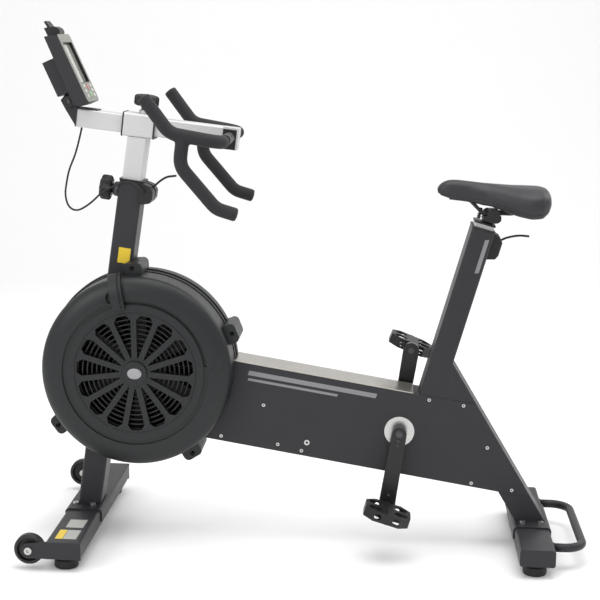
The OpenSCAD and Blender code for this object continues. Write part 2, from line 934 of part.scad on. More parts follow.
module belt(a, r_a, b, r_b, span) {
    difference() {
        link(a, r_a + belt_gap + belt_t, b, r_b + belt_gap + belt_t, span[0] + 1, span[1] - 1);
        link(a, r_a + belt_gap, b, r_b + belt_gap, span[0], span[1]);
    }
}

module drive_belts() {
    color(foam) {
        belt(crank_at, crank_pulley_r, counter_at, counter_small_r, first_belt_y);
        belt(counter_at, counter_big_r, fan_at, fan_pulley_r, second_belt_y);
    }
}

// A pulley wheel with round windows
module pulley(at, r, span, windows) {
    difference() {
        rod(at, r, span[0], span[1]);
        for (k = [0 : windows - 1])
            rod(at + 0.58 * r * [cos(360 * k / windows), sin(360 * k / windows)],
                0.22 * r, -big, big);
    }
}

module crank_axle() {
    color(steel) rod(crank_at, crank_shaft_r, -66, 66);
}

module crank_pulley() {
    color("silver") difference() {
        pulley(crank_at, crank_pulley_r, first_belt_y, 6);
        rod(crank_at, crank_shaft_r + play, -big, big);
    }
}

function pedal_at(side) =
    crank_at + side * crank_len * [sin(crank_angle), cos(crank_angle)];

module crank(side) {
    at = pedal_at(side);
    boss_in = half_w + cover_t + 3.8;
    difference() {
        union() {
            link(crank_at, 17, at, 19, crank_in, crank_out);
            rod(crank_at, 17, boss_in, crank_in + 1);
        }
        rod(crank_at, crank_shaft_r + play, 0, 66.5);
        rod(at, spindle_r + play, 0, crank_out + 1);
    }
}

module left_crank() {
    color(foam) mirror([0, 1, 0]) crank(-1);
}

module right_crank() {
    color(foam) crank(1);
}

module pedal_spindles() {
    color(steel) {
        rod(pedal_at(1), spindle_r, crank_in, crank_out - 2.5);
        rod(pedal_at(1), spindle_r - 0.5, crank_out - 2.5, pedal_out - 6);
        mirror([0, 1, 0]) {
            rod(pedal_at(-1), spindle_r, crank_in, crank_out - 2.5);
            rod(pedal_at(-1), spindle_r - 0.5, crank_out - 2.5, pedal_out - 6);
        }
    }
}

// Platform pedal: a hollow eight-sided body with openings, and a barrel along its spindle
module pedal(at, tilt) {
    chamfer = 22;
    side_t = 4;
    face_t = 4;
    thick = 12;
    barrel_r = 12.6;
    mid = (pedal_in + pedal_out) / 2;
    half_y = (pedal_out - pedal_in) / 2;
    h = pedal_half;
    outline = [
        [-h, -half_y + chamfer], [-h + chamfer, -half_y], [h - chamfer, -half_y],
        [h, -half_y + chamfer], [h, half_y - chamfer], [h - chamfer, half_y],
        [-h + chamfer, half_y], [-h, half_y - chamfer]
    ];
    color(plastic) translate([at[0], 0, at[1]]) rotate([0, tilt, 0]) difference() {
        union() {
            translate([0, mid, -thick]) linear_extrude(2 * thick) polygon(outline);
            along_y(pedal_in, pedal_out) circle(barrel_r);
        }
        difference() {
            translate([0, mid, -thick + face_t]) linear_extrude(2 * (thick - face_t))
                polygon(inset(outline, side_t));
            along_y(pedal_in, pedal_out) circle(barrel_r);
        }
        for (sx = [-1, 1]) {
            for (sy = [-1, 1]) translate([sx * 30, mid + sy * 20, -thick - 1])
                linear_extrude(2 * thick + 2) rounded(31, 27, 13);
            translate([sx * 21, 0, 0]) along_y(pedal_in - 1, pedal_out + 1) rounded(17, 13, 6);
        }
        along_y(pedal_in - 1, pedal_out - 5) circle(spindle_r - 0.5 + play);
    }
}

module left_pedal() {
    mirror([0, 1, 0]) pedal(pedal_at(-1), left_pedal_tilt);
}

module right_pedal() {
    pedal(pedal_at(1), right_pedal_tilt);
}

module countershaft() {
    color("silver") {
        rod(counter_at, shaft_r, -half_w + wall + 1, half_w - wall - 1);
        rod(counter_at, counter_small_r, first_belt_y[0], first_belt_y[1]);
        rod(counter_at, 14, first_belt_y[1] - 1, second_belt_y[0] + 1);
        pulley(counter_at, counter_big_r, second_belt_y, 6);
    }
}

module fan_axle() {
    color(steel) {
        rod(fan_at, shaft_r, -plate_out - 8, plate_out + 8);
        rod(fan_at, fan_pulley_r, second_belt_y[0] - 2, second_belt_y[1] + 2);
    }
}

// Radial blades on a thin back plate
module fan_rotor() {
    blade_t = 2;
    blade_in = 60;
    y0 = -33;
    y1 = 14;
    color(plastic) difference() {
        union() {
            rod(fan_at, rotor_r, y1 - 3, y1);
            rod(fan_at, 24, y0, y1);
            translate([-fan_x, 0, fan_z]) along_y(y0, y1 - 2)
                for (k = [0 : blade_count - 1])
                    rotate(360 * k / blade_count) translate([blade_in, -blade_t / 2])
                        square([rotor_r - 1 - blade_in, blade_t]);
            ring(fan_at, rotor_r, rotor_r - 3, y0, y0 + 4);
        }
        rod(fan_at, shaft_r + play, -big, big);
    }
}

// ---------- handlebar ----------

module handlebar_post() {
    color(steel) difference() {
        post_frame() box_tube(bar_x, bar_y, bar_r, bar_low, 930, post_wall);
        slider_frame() block([-big, big], [-big, big], [-tee_h / 2, big]);
    }
}

// Room for the slider to run in
module slider_hole() {
    along_x(-big, big)
        rounded(slider_w + 2 * sleeve_gap, slider_h + 2 * sleeve_gap, slider_r + sleeve_gap);
}

module tee_head() {
    color(steel) slider_frame() difference() {
        union() {
            along_x(-tee_len / 2, tee_len / 2) rounded(tee_w, tee_h, tee_r);
            translate([tee_knob_x, 0, tee_h / 2 - 1]) cylinder(r = knob_boss_r, h = 9);
        }
        slider_hole();
        translate([tee_knob_x, 0, 0]) cylinder(r = screw_r + play, h = 100);
    }
}

module tee_trims() {
    color(plastic) slider_frame() difference() {
        for (x = [-tee_len / 2 - trim_t, tee_len / 2])
            along_x(x, x + trim_t) rounded(tee_w + 2, tee_h + 2, tee_r + 1);
        slider_hole();
    }
}

module tee_knob() {
    color(foam) slider_frame() translate([tee_knob_x, 0, tee_h / 2 + 8.5])
        knob(tee_h / 2 + 8.5 - slider_h / 2 - 0.6, 9, 27);
}

// Slider tube, with a plate over and behind the handlebar clamp at its rear end
module slider_tube() {
    t = slider_wall;
    end = slider_rear + clamp_len;
    color(steel) slider_frame() {
        difference() {
            along_x(slider_front, slider_rear) rounded(slider_w, slider_h, slider_r);
            along_x(slider_front + t, slider_rear - t)
                rounded(slider_w - 2 * t, slider_h - 2 * t, slider_r - t);
        }
        difference() {
            block([slider_rear, end], [-slider_w / 2, slider_w / 2],
                  [slider_h / 2 - clamp_h, slider_h / 2]);
            block([slider_rear - 1, end - plate_t], [-slider_w, slider_w],
                  [slider_h / 2 - clamp_h - 1, slider_h / 2 - plate_t]);
        }
    }
}

module handlebar_clamp() {
    color(plastic) slider_frame() difference() {
        block([slider_rear, slider_rear + clamp_len - plate_t],
              [-slider_w / 2, slider_w / 2],
              [slider_h / 2 - clamp_h, slider_h / 2 - plate_t]);
        rod(cross_at, cross_r, -big, big);
    }
}

module handlebar() {
    color(plastic) slider_frame() rod(cross_at, cross_r, -cross_half, cross_half);
}

// A point of the slider's frame in the world's X and Z
function from_slider(p) =
    [tee_place[0] + p[0] * cos(slider_drop) + p[1] * sin(slider_drop),
     tee_place[2] - p[0] * sin(slider_drop) + p[1] * cos(slider_drop)];

// One grip: a bend off the cross bar, a side run, an upright horn and a dropped tail
module grip() {
    y = grip_span / 2;
    facets = 16;
    cross = from_slider(cross_at);
    a = [cross[0], cross_half, cross[1]];
    b = [cross[0], y, cross[1]];
    c = [-314, y, 970];
    d = [-372.5, y, 1047];
    join = [-284.5, y, 965.5];
    e = [-291.5, y, 900];
    f = [-210.5, y, 808];
    g = [-164.5, y, 795];
    sweep(concat([a], bend(a, b, c, 34, 6), bend(b, c, d, 45, 6), [d]),
          grip_d / 2, facets, [0, 0, 1]);
    sweep(concat([join], bend(join, e, f, 45, 6), bend(e, f, g, 45, 6), [g]),
          grip_d / 2, facets, [0, 1, 0]);
}

module handlebar_grips() {
    color(foam) both_sides() grip();
}

// ---------- console ----------

// A point of the world's X and Z in the slider's frame
function to_slider(x, z) =
    let (d = [x - tee_place[0], z - tee_place[2]])
    [d[0] * cos(slider_drop) - d[1] * sin(slider_drop),
     d[0] * sin(slider_drop) + d[1] * cos(slider_drop)];

module console_bracket() {
    tongue = 46;
    ear = to_slider(console_pin[0], console_pin[2]);
    low = -20;
    color(paint) slider_frame() {
        both_sides() slab([
            ear + [-21, 0], ear + [-7.5, -20], [slider_front, low],
            [slider_front, slider_h / 2 + 1], ear + [12, -7], ear + [9.5, 4], ear + [-13, 12]],
            ear_in, ear_out);
        block([slider_front - 4, slider_front], [-ear_in, ear_in], [low, slider_h / 2 + 2.5]);
        block([slider_front - 4, slider_front + tongue], [-ear_in, ear_in],
              [slider_h / 2, slider_h / 2 + 2.5]);
        rod(ear, 4, -ear_out - 4, ear_out + 4);
    }
}

function case_outline() = [
    [24, case_low], [face_n, case_low], [face_n, case_top - 2], [28, case_top + 4],
    [case_back, case_top + 6], [12, -14]
];

module console_case() {
    skin = 2.5;
    half = console_w / 2;
    slot = 15.4;
    color(plastic) console_frame() difference() {
        union() {
            slab(case_outline(), -half, half);
            block([-17.5, case_back], [-42, 42], [19, 102]);
            slab([[-10, 9], [10, -12], [14, -12], [14, 24], [-2, 24]], -ear_in + 1, ear_in - 1);
            rod([0, 0], 15, -ear_in + 0.5, ear_in - 0.5);
        }
        rod([0, 0], 4 + play, -big, big);
        slab([[18.5, 149], [18.5, 60], [16.5, -12], [26, case_low + 3],
              [face_n + 1, case_low + 3], [face_n + 1, case_top - 4]],
             -half + skin, half - skin);
        block([19.6, 24.4], [-slot, slot], [130, 170]);
    }
}

// Round holes or pins of radius r along the console's X, at points in its Y and Z
module pins(places, r, x0, x1) {
    for (p = places) translate([x0, p[0], p[1]]) rotate([0, 90, 0]) cylinder(r = r, h = x1 - x0);
}

// Light front plate, with a rim behind it round the sunk screen
module console_bezel() {
    height = case_top - case_low;
    x1 = face_n + bezel_t;
    middle = (window_z[0] + window_z[1]) / 2;
    tall = window_z[1] - window_z[0];
    color("#a9aaa0") console_frame() difference() {
        union() {
            translate([0, 0, (case_top + case_low) / 2])
                along_x(face_n, x1) rounded(console_w, height - 2, 9);
            translate([0, 0, middle]) along_x(face_n - window_deep, face_n + 1)
                rounded(2 * window_y + 4, tall + 4, 4);
        }
        translate([0, 0, middle]) along_x(0, big) rounded(2 * window_y, tall, 2);
        pins([stop_at, start_at], button_r + button_gap, 0, big);
        pins(key_at, key_r + button_gap, 0, big);
    }
}

module console_screen() {
    x1 = face_n - window_deep;
    color("#8d9186") console_frame()
        block([x1 - 2, x1], [-window_y - 2, window_y + 2], [window_z[0] - 2, window_z[1] + 2]);
}

// Rubber sheet behind the front plate, with six small keys that stand through it
module console_keypad() {
    color("#c9cac4") console_frame() difference() {
        union() {
            block([face_n - 2, face_n], [-44, 44], [-16, 21.5]);
            pins(key_at, key_r, face_n - 1, face_n + bezel_t + 1);
        }
        pins([stop_at, start_at], button_r + button_gap, 0, big);
    }
}

module stop_button() {
    color("#b8322c") console_frame()
        pins([stop_at], button_r, face_n - 3, face_n + bezel_t + button_rise);
}

module start_button() {
    color("#4f9a3e") console_frame()
        pins([start_at], button_r, face_n - 3, face_n + bezel_t + button_rise);
}

// Sprung jaw on top of the console that holds a phone
module phone_clip() {
    color(plastic) console_frame() {
        slab([[17, 152.5], [28, 150.6], [44, 145], [47, 150], [47, 158], [41, 166], [31, 170],
              [26.5, 186.5], [22.5, 185.5], [24.5, 171.5], [19, 172], [16.5, 173.5]], -24, 24);
        block([20, 24], [-15, 15], [118, 153]);
    }
}

module console_cable() {
    color(foam) sweep(cable_route, cable_r, 8, [0, 1, 0]);
}

// ---------- saddle ----------

module seat_post() {
    color(steel) seat_frame()
        box_tube(seat_bar_x, seat_bar_y, seat_bar_r, seat_bar_low, seat_bar_top, seat_wall + 0.5);
}

// Cap plate of the seat post with the block and cross pin that the saddle clamp tilts on
module seat_post_head() {
    lid = 3.5;
    color(plastic) seat_frame() {
        translate([0, 0, seat_bar_top]) linear_extrude(lid)
            rounded(seat_bar_x + 5, seat_bar_y + 4, seat_bar_r + 1);
        block([-7.5, 18], [-head_half, head_half], [seat_bar_top + 1, tilt_up - 6]);
        rod([0, tilt_up], 7.5, -head_half, head_half);
        block([-7.5, 7.5], [-head_half, head_half], [seat_bar_top + 1, tilt_up]);
        rod([0, tilt_up], tilt_pin_r, -tilt_pin_half, tilt_pin_half);
    }
}

// Upright screw with its washers, which holds the front of the saddle clamp down
module clamp_screw() {
    screw_x = -16.5;
    washers = 4;
    pitch = 4.8;
    low = tilt_up - 16;
    seat_frame() translate([screw_x, 0, low]) {
        cylinder(r = 3, h = 25);
        for (k = [0 : washers - 1]) translate([0, 0, k * pitch]) cylinder(r = 5, h = 2.2);
    }
}

// Clamp that tilts on the head's cross pin and grips the two rails
module saddle_clamp() {
    cheek_y = [head_half + 0.7, 28];
    bridge_z = rail_z + 5.6;
    top_z = rail_z + 8;
    pin = from_seat(0, tilt_up);
    cheek = [
        [clamp_x[0], top_z], [clamp_x[0], rail_z - 6], from_seat(-8, tilt_up - 6),
        from_seat(-8, tilt_up - 15), from_seat(20, tilt_up - 15), from_seat(28, tilt_up - 12),
        from_seat(33, tilt_up - 5), [clamp_x[1] + 6, rail_z - 6], [clamp_x[1] + 3, rail_z - 3],
        [clamp_x[1], top_z]
    ];
    color(plastic) {
        both_sides() difference() {
            union() {
                rod(pin, 11, cheek_y[0], tilt_pin_half);
                slab(cheek, cheek_y[0], cheek_y[1]);
            }
            rod(pin, tilt_pin_r + play, 0, tilt_pin_half + 0.5);
            translate([0, rail_y, rail_z]) rotate([0, 90, 0])
                cylinder(r = rail_r + 0.1, h = big * 2);
        }
        block([clamp_x[0] + 4, clamp_x[1] - 4], [-cheek_y[0] - 1, cheek_y[0] + 1],
              [bridge_z, top_z]);
        seat_frame() block([-20, -8.5], [-cheek_y[0] - 1, cheek_y[0] + 1],
                           [tilt_up - 1, tilt_up + 4]);
        clamp_screw();
    }
}

// Two rails that rise to the saddle's nose and tail
module saddle_rails() {
    a = [306, 10, 825];
    b = [351, 19, 822];
    c = [381, rail_y, rail_z];
    d = [452, rail_y, rail_z];
    e = [484, 36, 825];
    color(plastic) both_sides()
        sweep(concat([a], bend(a, b, c, 12, 4), bend(b, c, d, 12, 4), bend(c, d, e, 18, 4), [e]),
              rail_r, 12, [0, 1, 0]);
}

// Saddle pad: its side outline crossed with its plan
module saddle_cushion() {
    nose_x = 274.5;
    tail_x = 537;
    side = [
        [nose_x, 846], [278, 836], [288, 830], [355, 823], [400, 816], [435, 804], [460, 794],
        [490, 788], [513, 790], [529, 801], [tail_x, 820], [535, 836], [527, 845], [512, 849],
        [445, 850], [375, 855], [325, 860], [301, 861], [283, 856]
    ];
    half_plan = [
        [nose_x, 0], [278, 12], [296, 20], [346, 26], [390, 36], [430, 58], [463, 78],
        [490, 86], [512, 82], [529, 64], [tail_x, 35], [tail_x, 0]
    ];
    hollow_y = 42;
    hollow_z = 829;
    color(foam) difference() {
        intersection() {
            slab(side, -big, big);
            translate([0, 0, 700]) linear_extrude(200)
                polygon(concat(half_plan, [for (i = [len(half_plan) - 2 : -1 : 1])
                    [half_plan[i][0], -half_plan[i][1]]]));
        }
        block([nose_x - 20, tail_x + 50], [-hollow_y, hollow_y], [700, hollow_z]);
    }
}

// ---------- fasteners ----------

// A hexagon-socket bolt head standing on a beam saddle
module saddle_bolt(x, y) {
    translate([x, y, beam_top + plate_t]) difference() {
        cylinder(r = 6.5, h = 5);
        translate([0, 0, 2]) cylinder(r = 3, h = 4, $fn = 6);
    }
}

module fasteners() {
    cover = half_w + cover_t;
    beam_end = front_beam_len / 2;
    color(steel) both_sides() {
        translate([0, cover, 0]) for (at = cover_screws) screw_head(at, 4, 2);
        translate([0, cover, 0]) screw_head(counter_at + [-3.5, -64], 6.5, 3);
        translate([0, beam_end, 0]) screw_head([wheel_x, wheel_z], 8.5, 4);
        rod([wheel_x, wheel_z], axle_bolt_r - play, wheel_y - 15, beam_end);
        rod([wheel_x, wheel_z], 8, wheel_y - 15, wheel_y - 10);
        for (x = front_bolts) saddle_bolt(x, front_bolt_y);
        for (x = rear_bolts) saddle_bolt(x, rear_bolt_y);
    }
}

front_beam();
rear_beam();
rubber_feet();
lower_front_post();
upper_front_post();
fork_plates();
frame_box();
side_covers();
top_cover();
seat_tube();
rear_leg();
rear_handle();
left_fan_shell();
right_fan_shell();
inlet_grilles();
bearing_cups();
bearings();
drive_belts();
fasteners();
post_clamp_housing();
tube_sleeves();
seat_clamp_housing();
crank_axle();
left_crank();
right_crank();
crank_pulley();
pedal_spindles();
left_pedal();
right_pedal();
countershaft();
fan_rotor();
fan_axle();
damper_lever();
handlebar_post();
tee_head();
tee_trims();
slider_tube();
handlebar();
handlebar_grips();
handlebar_clamp();
console_bracket();
console_case();
console_bezel();
console_screen();
console_keypad();
phone_clip();
stop_button();
start_button();
tee_knob();
post_knob();
post_lever();
seat_post();
seat_post_head();
seat_lever();
saddle_clamp();
saddle_rails();
saddle_cushion();
left_wheel();
right_wheel();
console_cable();
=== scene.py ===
"""Air bike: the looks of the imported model, in metres, in the model's own frame."""

import json
from math import cos, pi, radians, sin, tan

import bmesh
import bpy
from mathutils import Matrix, Vector
from mathutils.bvhtree import BVHTree


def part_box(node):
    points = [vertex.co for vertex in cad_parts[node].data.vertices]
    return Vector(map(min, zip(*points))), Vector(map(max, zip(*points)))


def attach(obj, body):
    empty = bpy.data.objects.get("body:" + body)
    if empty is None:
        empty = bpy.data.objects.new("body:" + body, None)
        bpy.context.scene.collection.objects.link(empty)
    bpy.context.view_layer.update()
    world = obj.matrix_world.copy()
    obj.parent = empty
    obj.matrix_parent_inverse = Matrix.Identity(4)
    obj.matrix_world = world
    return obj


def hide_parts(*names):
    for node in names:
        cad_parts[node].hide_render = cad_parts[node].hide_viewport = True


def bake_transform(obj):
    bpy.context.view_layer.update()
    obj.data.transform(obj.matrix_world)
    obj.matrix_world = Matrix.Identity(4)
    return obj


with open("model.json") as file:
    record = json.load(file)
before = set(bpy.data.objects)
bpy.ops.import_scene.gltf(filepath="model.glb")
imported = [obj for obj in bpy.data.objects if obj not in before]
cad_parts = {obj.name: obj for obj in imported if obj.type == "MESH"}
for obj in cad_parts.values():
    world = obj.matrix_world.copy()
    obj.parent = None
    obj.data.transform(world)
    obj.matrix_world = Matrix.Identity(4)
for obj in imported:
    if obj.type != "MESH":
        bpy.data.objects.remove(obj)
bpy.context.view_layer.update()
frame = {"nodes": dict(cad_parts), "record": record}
nodes = frame["nodes"]
joints = {joint["name"]: joint for joint in frame["record"]["behaviour"]["joints"]}


# ---------- mesh building ----------

def new_mesh(name, points, faces, smooth=True):
    """A mesh of points and faces, with all its faces turned outwards."""
    mesh = bpy.data.meshes.new(name)
    mesh.from_pydata([tuple(p) for p in points], [], faces)
    work = bmesh.new()
    work.from_mesh(mesh)
    bmesh.ops.recalc_face_normals(work, faces=work.faces)
    work.to_mesh(mesh)
    work.free()
    mesh.polygons.foreach_set("use_smooth", [smooth] * len(mesh.polygons))
    return mesh


def add_piece(name, mesh, material, body, *replaced):
    """A visible piece that rides on a body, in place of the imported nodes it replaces."""
    piece = bpy.data.objects.new(name, mesh)
    bpy.context.scene.collection.objects.link(piece)
    mesh.materials.append(material)
    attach(piece, body)
    if replaced:
        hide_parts(*replaced)
    return piece


def loft(rings, closed=False):
    """Points and faces of a skin over closed rings, with a flat cap on each end."""
    count = len(rings[0])
    points = [p for ring in rings for p in ring]
    faces = []
    for i in range(len(rings) if closed else len(rings) - 1):
        here = i * count
        there = (i + 1) % len(rings) * count
        for k in range(count):
            n = (k + 1) % count
            faces.append((here + k, here + n, there + n, there + k))
    if not closed:
        faces.append(tuple(reversed(range(count))))
        faces.append(tuple(range(len(points) - count, len(points))))
    return points, faces


def bend_path(points, radii, steps=8):
    """The path through points, with each inner corner rounded to its radius."""
    points = [Vector(p) for p in points]
    path = [points[0]]
    for before, corner, after, radius in zip(points, points[1:], points[2:], radii):
        u = (before - corner).normalized()
        v = (after - corner).normalized()
        half = u.angle(v) / 2
        turn = pi - 2 * half
        middle = corner + (u + v).normalized() * radius / sin(half)
        p = corner + u * radius / tan(half) - middle
        q = corner + v * radius / tan(half) - middle
        for i in range(steps + 1):
            a = turn * i / steps
            path.append(middle + (p * sin(turn - a) + q * sin(a)) / sin(turn))
    path.append(points[-1])
    return path


def smooth_path(points, steps):
    """A curve through all the points, without corners."""
    points = [Vector(p) for p in points]
    ends = [2 * points[0] - points[1]] + points + [2 * points[-1] - points[-2]]
    path = []
    for a, b, c, d in zip(ends, ends[1:], ends[2:], ends[3:]):
        for i in range(steps):
            t = i / steps
            path.append(
                (2 * b + (c - a) * t + (2 * a - 5 * b + 4 * c - d) * t ** 2
                 + (3 * b - a - 3 * c + d) * t ** 3) / 2
            )
    return path + [points[-1]]


def path_length(path):
    """The length of a path along its points."""
    return sum((b - a).length for a, b in zip(path, path[1:]))


def stations(path, dome):
    """Each centre of a tube's rings with its direction and its share of the full radius."""
    ways = [
        (path[min(i + 1, len(path) - 1)] - path[max(i - 1, 0)]).normalized()
        for i in range(len(path))
    ]
    found = [(centre, way, 1.0) for centre, way in zip(path, ways)]
    if dome:
        turns = [radians(a) for a in (22, 45, 66, 84)]
        start, end = found[0], found[-1]
        for a in turns:
            found.insert(0, (start[0] - start[1] * dome * sin(a), start[1], cos(a)))
            found.append((end[0] + end[1] * dome * sin(a), end[1], cos(a)))
    return found


def tube(path, radius, sides=24, dome=0.0, flatten=1.0, closed=False, side=(0, 1, 0)):
    """Points and faces of a tube along a path. dome is how far its round ends reach past it."""
    path = [Vector(p) for p in path]
    rings = []
    across = Vector(side)
    for centre, way, share in stations(path, dome):
        across = (across - way * across.dot(way)).normalized()
        up = way.cross(across)
        rings.append([
            centre + share * radius * (
                across * cos(2 * pi * k / sides) + up * flatten * sin(2 * pi * k / sides)
            )
            for k in range(sides)
        ])
    return loft(rings, closed)


def turned(profile, place, axis, sides=48, outline=None):
    """A body of revolution: profile holds (radius, height) pairs, and outline(angle) its lobes."""
    turn = Vector(axis).to_track_quat("Z", "Y").to_matrix()
    rings = []
    for radius, height in profile:
        ring = []
        for k in range(sides):
            a = 2 * pi * k / sides
            reach = radius * (outline(a) if outline else 1)
            ring.append(Vector(place) + turn @ Vector((reach * cos(a), reach * sin(a), height)))
        rings.append(ring)
    return loft(rings)


def joined(*parts):
    """Several sets of points and faces as one."""
    points, faces = [], []
    for more_points, more_faces in parts:
        faces += [tuple(i + len(points) for i in face) for face in more_faces]
        points += more_points
    return points, faces


# ---------- materials ----------

def link(tree, source, output, target, socket):
    tree.links.new(source.outputs[output], target.inputs[socket])


def add_node(tree, kind, **values):
    node = tree.nodes.new(kind)
    for name, value in values.items():
        node.inputs[name].default_value = value
    return node


def place_nodes(tree, stretch):
    """Coordinates in the model's frame, stretched along one axis for brushed or ribbed work."""
    where = tree.nodes.new("ShaderNodeTexCoord")
    scaled = add_node(tree, "ShaderNodeMapping", Scale=stretch)
    link(tree, where, "Object", scaled, "Vector")
    return scaled


def speckle(tree, place, scale):
    """Fine noise: orange peel, moulding grain or brushed streaks."""
    noise = add_node(tree, "ShaderNodeTexNoise", Scale=scale, Detail=4.0, Roughness=0.6)
    link(tree, place, "Vector", noise, "Vector")
    return noise, "Fac"


def pebbles(tree, place, scale):
    """Rounded cells with creases between them, as in leather grain or cast foam."""
    cells = tree.nodes.new("ShaderNodeTexVoronoi")
    cells.feature = "SMOOTH_F1"
    cells.inputs["Scale"].default_value = scale
    link(tree, place, "Vector", cells, "Vector")
    return cells, "Distance"


def finish(name, colour, roughness, grain, scale, depth, vary=0.12, patch=9.0,
           stretch=(1, 1, 1), **sockets):
    """A material whose colour, roughness and surface all vary: depth is the grain's, in metres."""
    material = bpy.data.materials.new(name)
    material.use_nodes = True
    tree = material.node_tree
    shader = tree.nodes["Principled BSDF"]
    for socket, value in sockets.items():
        shader.inputs[socket.replace("_", " ")].default_value = value
    place = place_nodes(tree, stretch)
    source, output = grain(tree, place, scale)

    bump = add_node(tree, "ShaderNodeBump", Strength=1.0, Distance=depth)
    link(tree, source, output, bump, "Height")
    link(tree, bump, "Normal", shader, "Normal")

    patches = add_node(tree, "ShaderNodeTexNoise", Scale=patch, Detail=6.0, Roughness=0.65)
    link(tree, place_nodes(tree, (1, 1, 1)), "Vector", patches, "Vector")
    tint = tree.nodes.new("ShaderNodeValToRGB")
    tint.color_ramp.elements[0].position = 0.25
    tint.color_ramp.elements[1].position = 0.75
    tint.color_ramp.elements[0].color = (*[c * (1 - vary) for c in colour], 1)
    tint.color_ramp.elements[1].color = (*[c * (1 + vary) for c in colour], 1)
    link(tree, patches, "Fac", tint, "Fac")
    link(tree, tint, "Color", shader, "Base Color")

    gloss = add_node(tree, "ShaderNodeMapRange")
    gloss.inputs["From Min"].default_value = 0.3
    gloss.inputs["From Max"].default_value = 0.7
    gloss.inputs["To Min"].default_value = max(roughness - 0.07, 0.02)
    gloss.inputs["To Max"].default_value = min(roughness + 0.07, 1)
    link(tree, source, output, gloss, "Value")
    link(tree, gloss, "Result", shader, "Roughness")
    return material


def powder_coat():
    return finish("powder_coat", (0.020, 0.020, 0.023), 0.46, speckle, 900, 0.00006, vary=0.08,
                  Specular_IOR_Level=0.35)


def gloss_black():
    return finish("gloss_black", (0.008, 0.008, 0.009), 0.34, speckle, 500, 0.00006, vary=0.15,
                  Specular_IOR_Level=0.4)


def silver_paint(name, along):
    """Silver lacquer over a tube that was ground along its length."""
    stretch = [0.04 if axis == along else 1 for axis in "XYZ"]
    return finish(name, (0.54, 0.54, 0.54), 0.38, speckle, 1400, 0.00004, vary=0.04,
                  stretch=stretch, Metallic=0.3)


def ground_steel():
    return finish("ground_steel", (0.42, 0.40, 0.365), 0.32, speckle, 1500, 0.00003, vary=0.10,
                  stretch=(0.03, 1, 1), Metallic=0.9)


def bright_steel():
    return finish("bright_steel", (0.52, 0.52, 0.51), 0.27, speckle, 700, 0.00003, vary=0.12,
                  Metallic=0.95)


def dark_steel():
    return finish("dark_steel", (0.075, 0.075, 0.08), 0.38, speckle, 700, 0.00004, vary=0.15,
                  Metallic=0.8)


def moulded_plastic():
    return finish("moulded_plastic", (0.009, 0.009, 0.010), 0.46, speckle, 1300, 0.00010,
                  vary=0.15, Specular_IOR_Level=0.4)


def housing_plastic():
    return finish("housing_plastic", (0.009, 0.010, 0.011), 0.42, speckle, 1100, 0.00008,
                  vary=0.12, Specular_IOR_Level=0.4)


def grip_foam():
    return finish("grip_foam", (0.020, 0.020, 0.022), 0.80, pebbles, 1100, 0.00022, vary=0.10,
                  Specular_IOR_Level=0.3, Sheen_Weight=0.06, Sheen_Roughness=0.5)


def saddle_skin():
    return finish("saddle_skin", (0.021, 0.021, 0.024), 0.50, pebbles, 620, 0.00016, vary=0.10,
                  Specular_IOR_Level=0.4)


def stitch_thread():
    return finish("stitch_thread", (0.014, 0.014, 0.016), 0.75, speckle, 2600, 0.00015)


def soft_rubber(name, shade):
    return finish(name, (shade, shade, shade * 1.03), 0.72, speckle, 1700, 0.00010, vary=0.12)


def turned_alloy():
    return finish("turned_alloy", (0.58, 0.58, 0.60), 0.32, speckle, 900, 0.00004, vary=0.06,
                  Metallic=0.9)


def console_plastic():
    return finish("console_plastic", (0.21, 0.215, 0.19), 0.5, speckle, 1500, 0.00007, vary=0.05)


def liquid_crystal():
    return finish("liquid_crystal", (0.30, 0.30, 0.27), 0.18, speckle, 300, 0.00001, vary=0.06,
                  Coat_Weight=0.8, Coat_Roughness=0.05)


def key_plastic(name, colour):
    return finish(name, colour, 0.4, speckle, 1800, 0.00004, vary=0.06, Coat_Weight=0.2)


def printed_film(name, colour):
    return finish(name, colour, 0.38, speckle, 1600, 0.00002, vary=0.04)


# ---------- camera ----------

CAMERA_AT = Vector((0.1617, -3.3652, 1.192))
CAMERA_YAW = -0.058
CAMERA_PITCH = 0.181
CAMERA_ROLL = 0.020
CAMERA_LENS = 87.8


def add_camera():
    """The camera at the photograph's viewing angle."""
    forward = Vector((
        sin(CAMERA_YAW) * cos(CAMERA_PITCH),
        cos(CAMERA_YAW) * cos(CAMERA_PITCH),
        -sin(CAMERA_PITCH),
    ))
    level = Vector((cos(CAMERA_YAW), -sin(CAMERA_YAW), 0))
    above = level.cross(forward)
    right = level * cos(CAMERA_ROLL) + above * sin(CAMERA_ROLL)
    up = above * cos(CAMERA_ROLL) - level * sin(CAMERA_ROLL)
    data = bpy.data.cameras.new("camera")
    data.lens = CAMERA_LENS
    data.sensor_width = 36
    camera = bpy.data.objects.new("camera", data)
    turn = Matrix((right, up, -forward)).transposed()
    camera.matrix_world = Matrix.Translation(CAMERA_AT) @ turn.to_4x4()
    bpy.context.scene.collection.objects.link(camera)
    bpy.context.scene.camera = camera


# ---------- console cable ----------

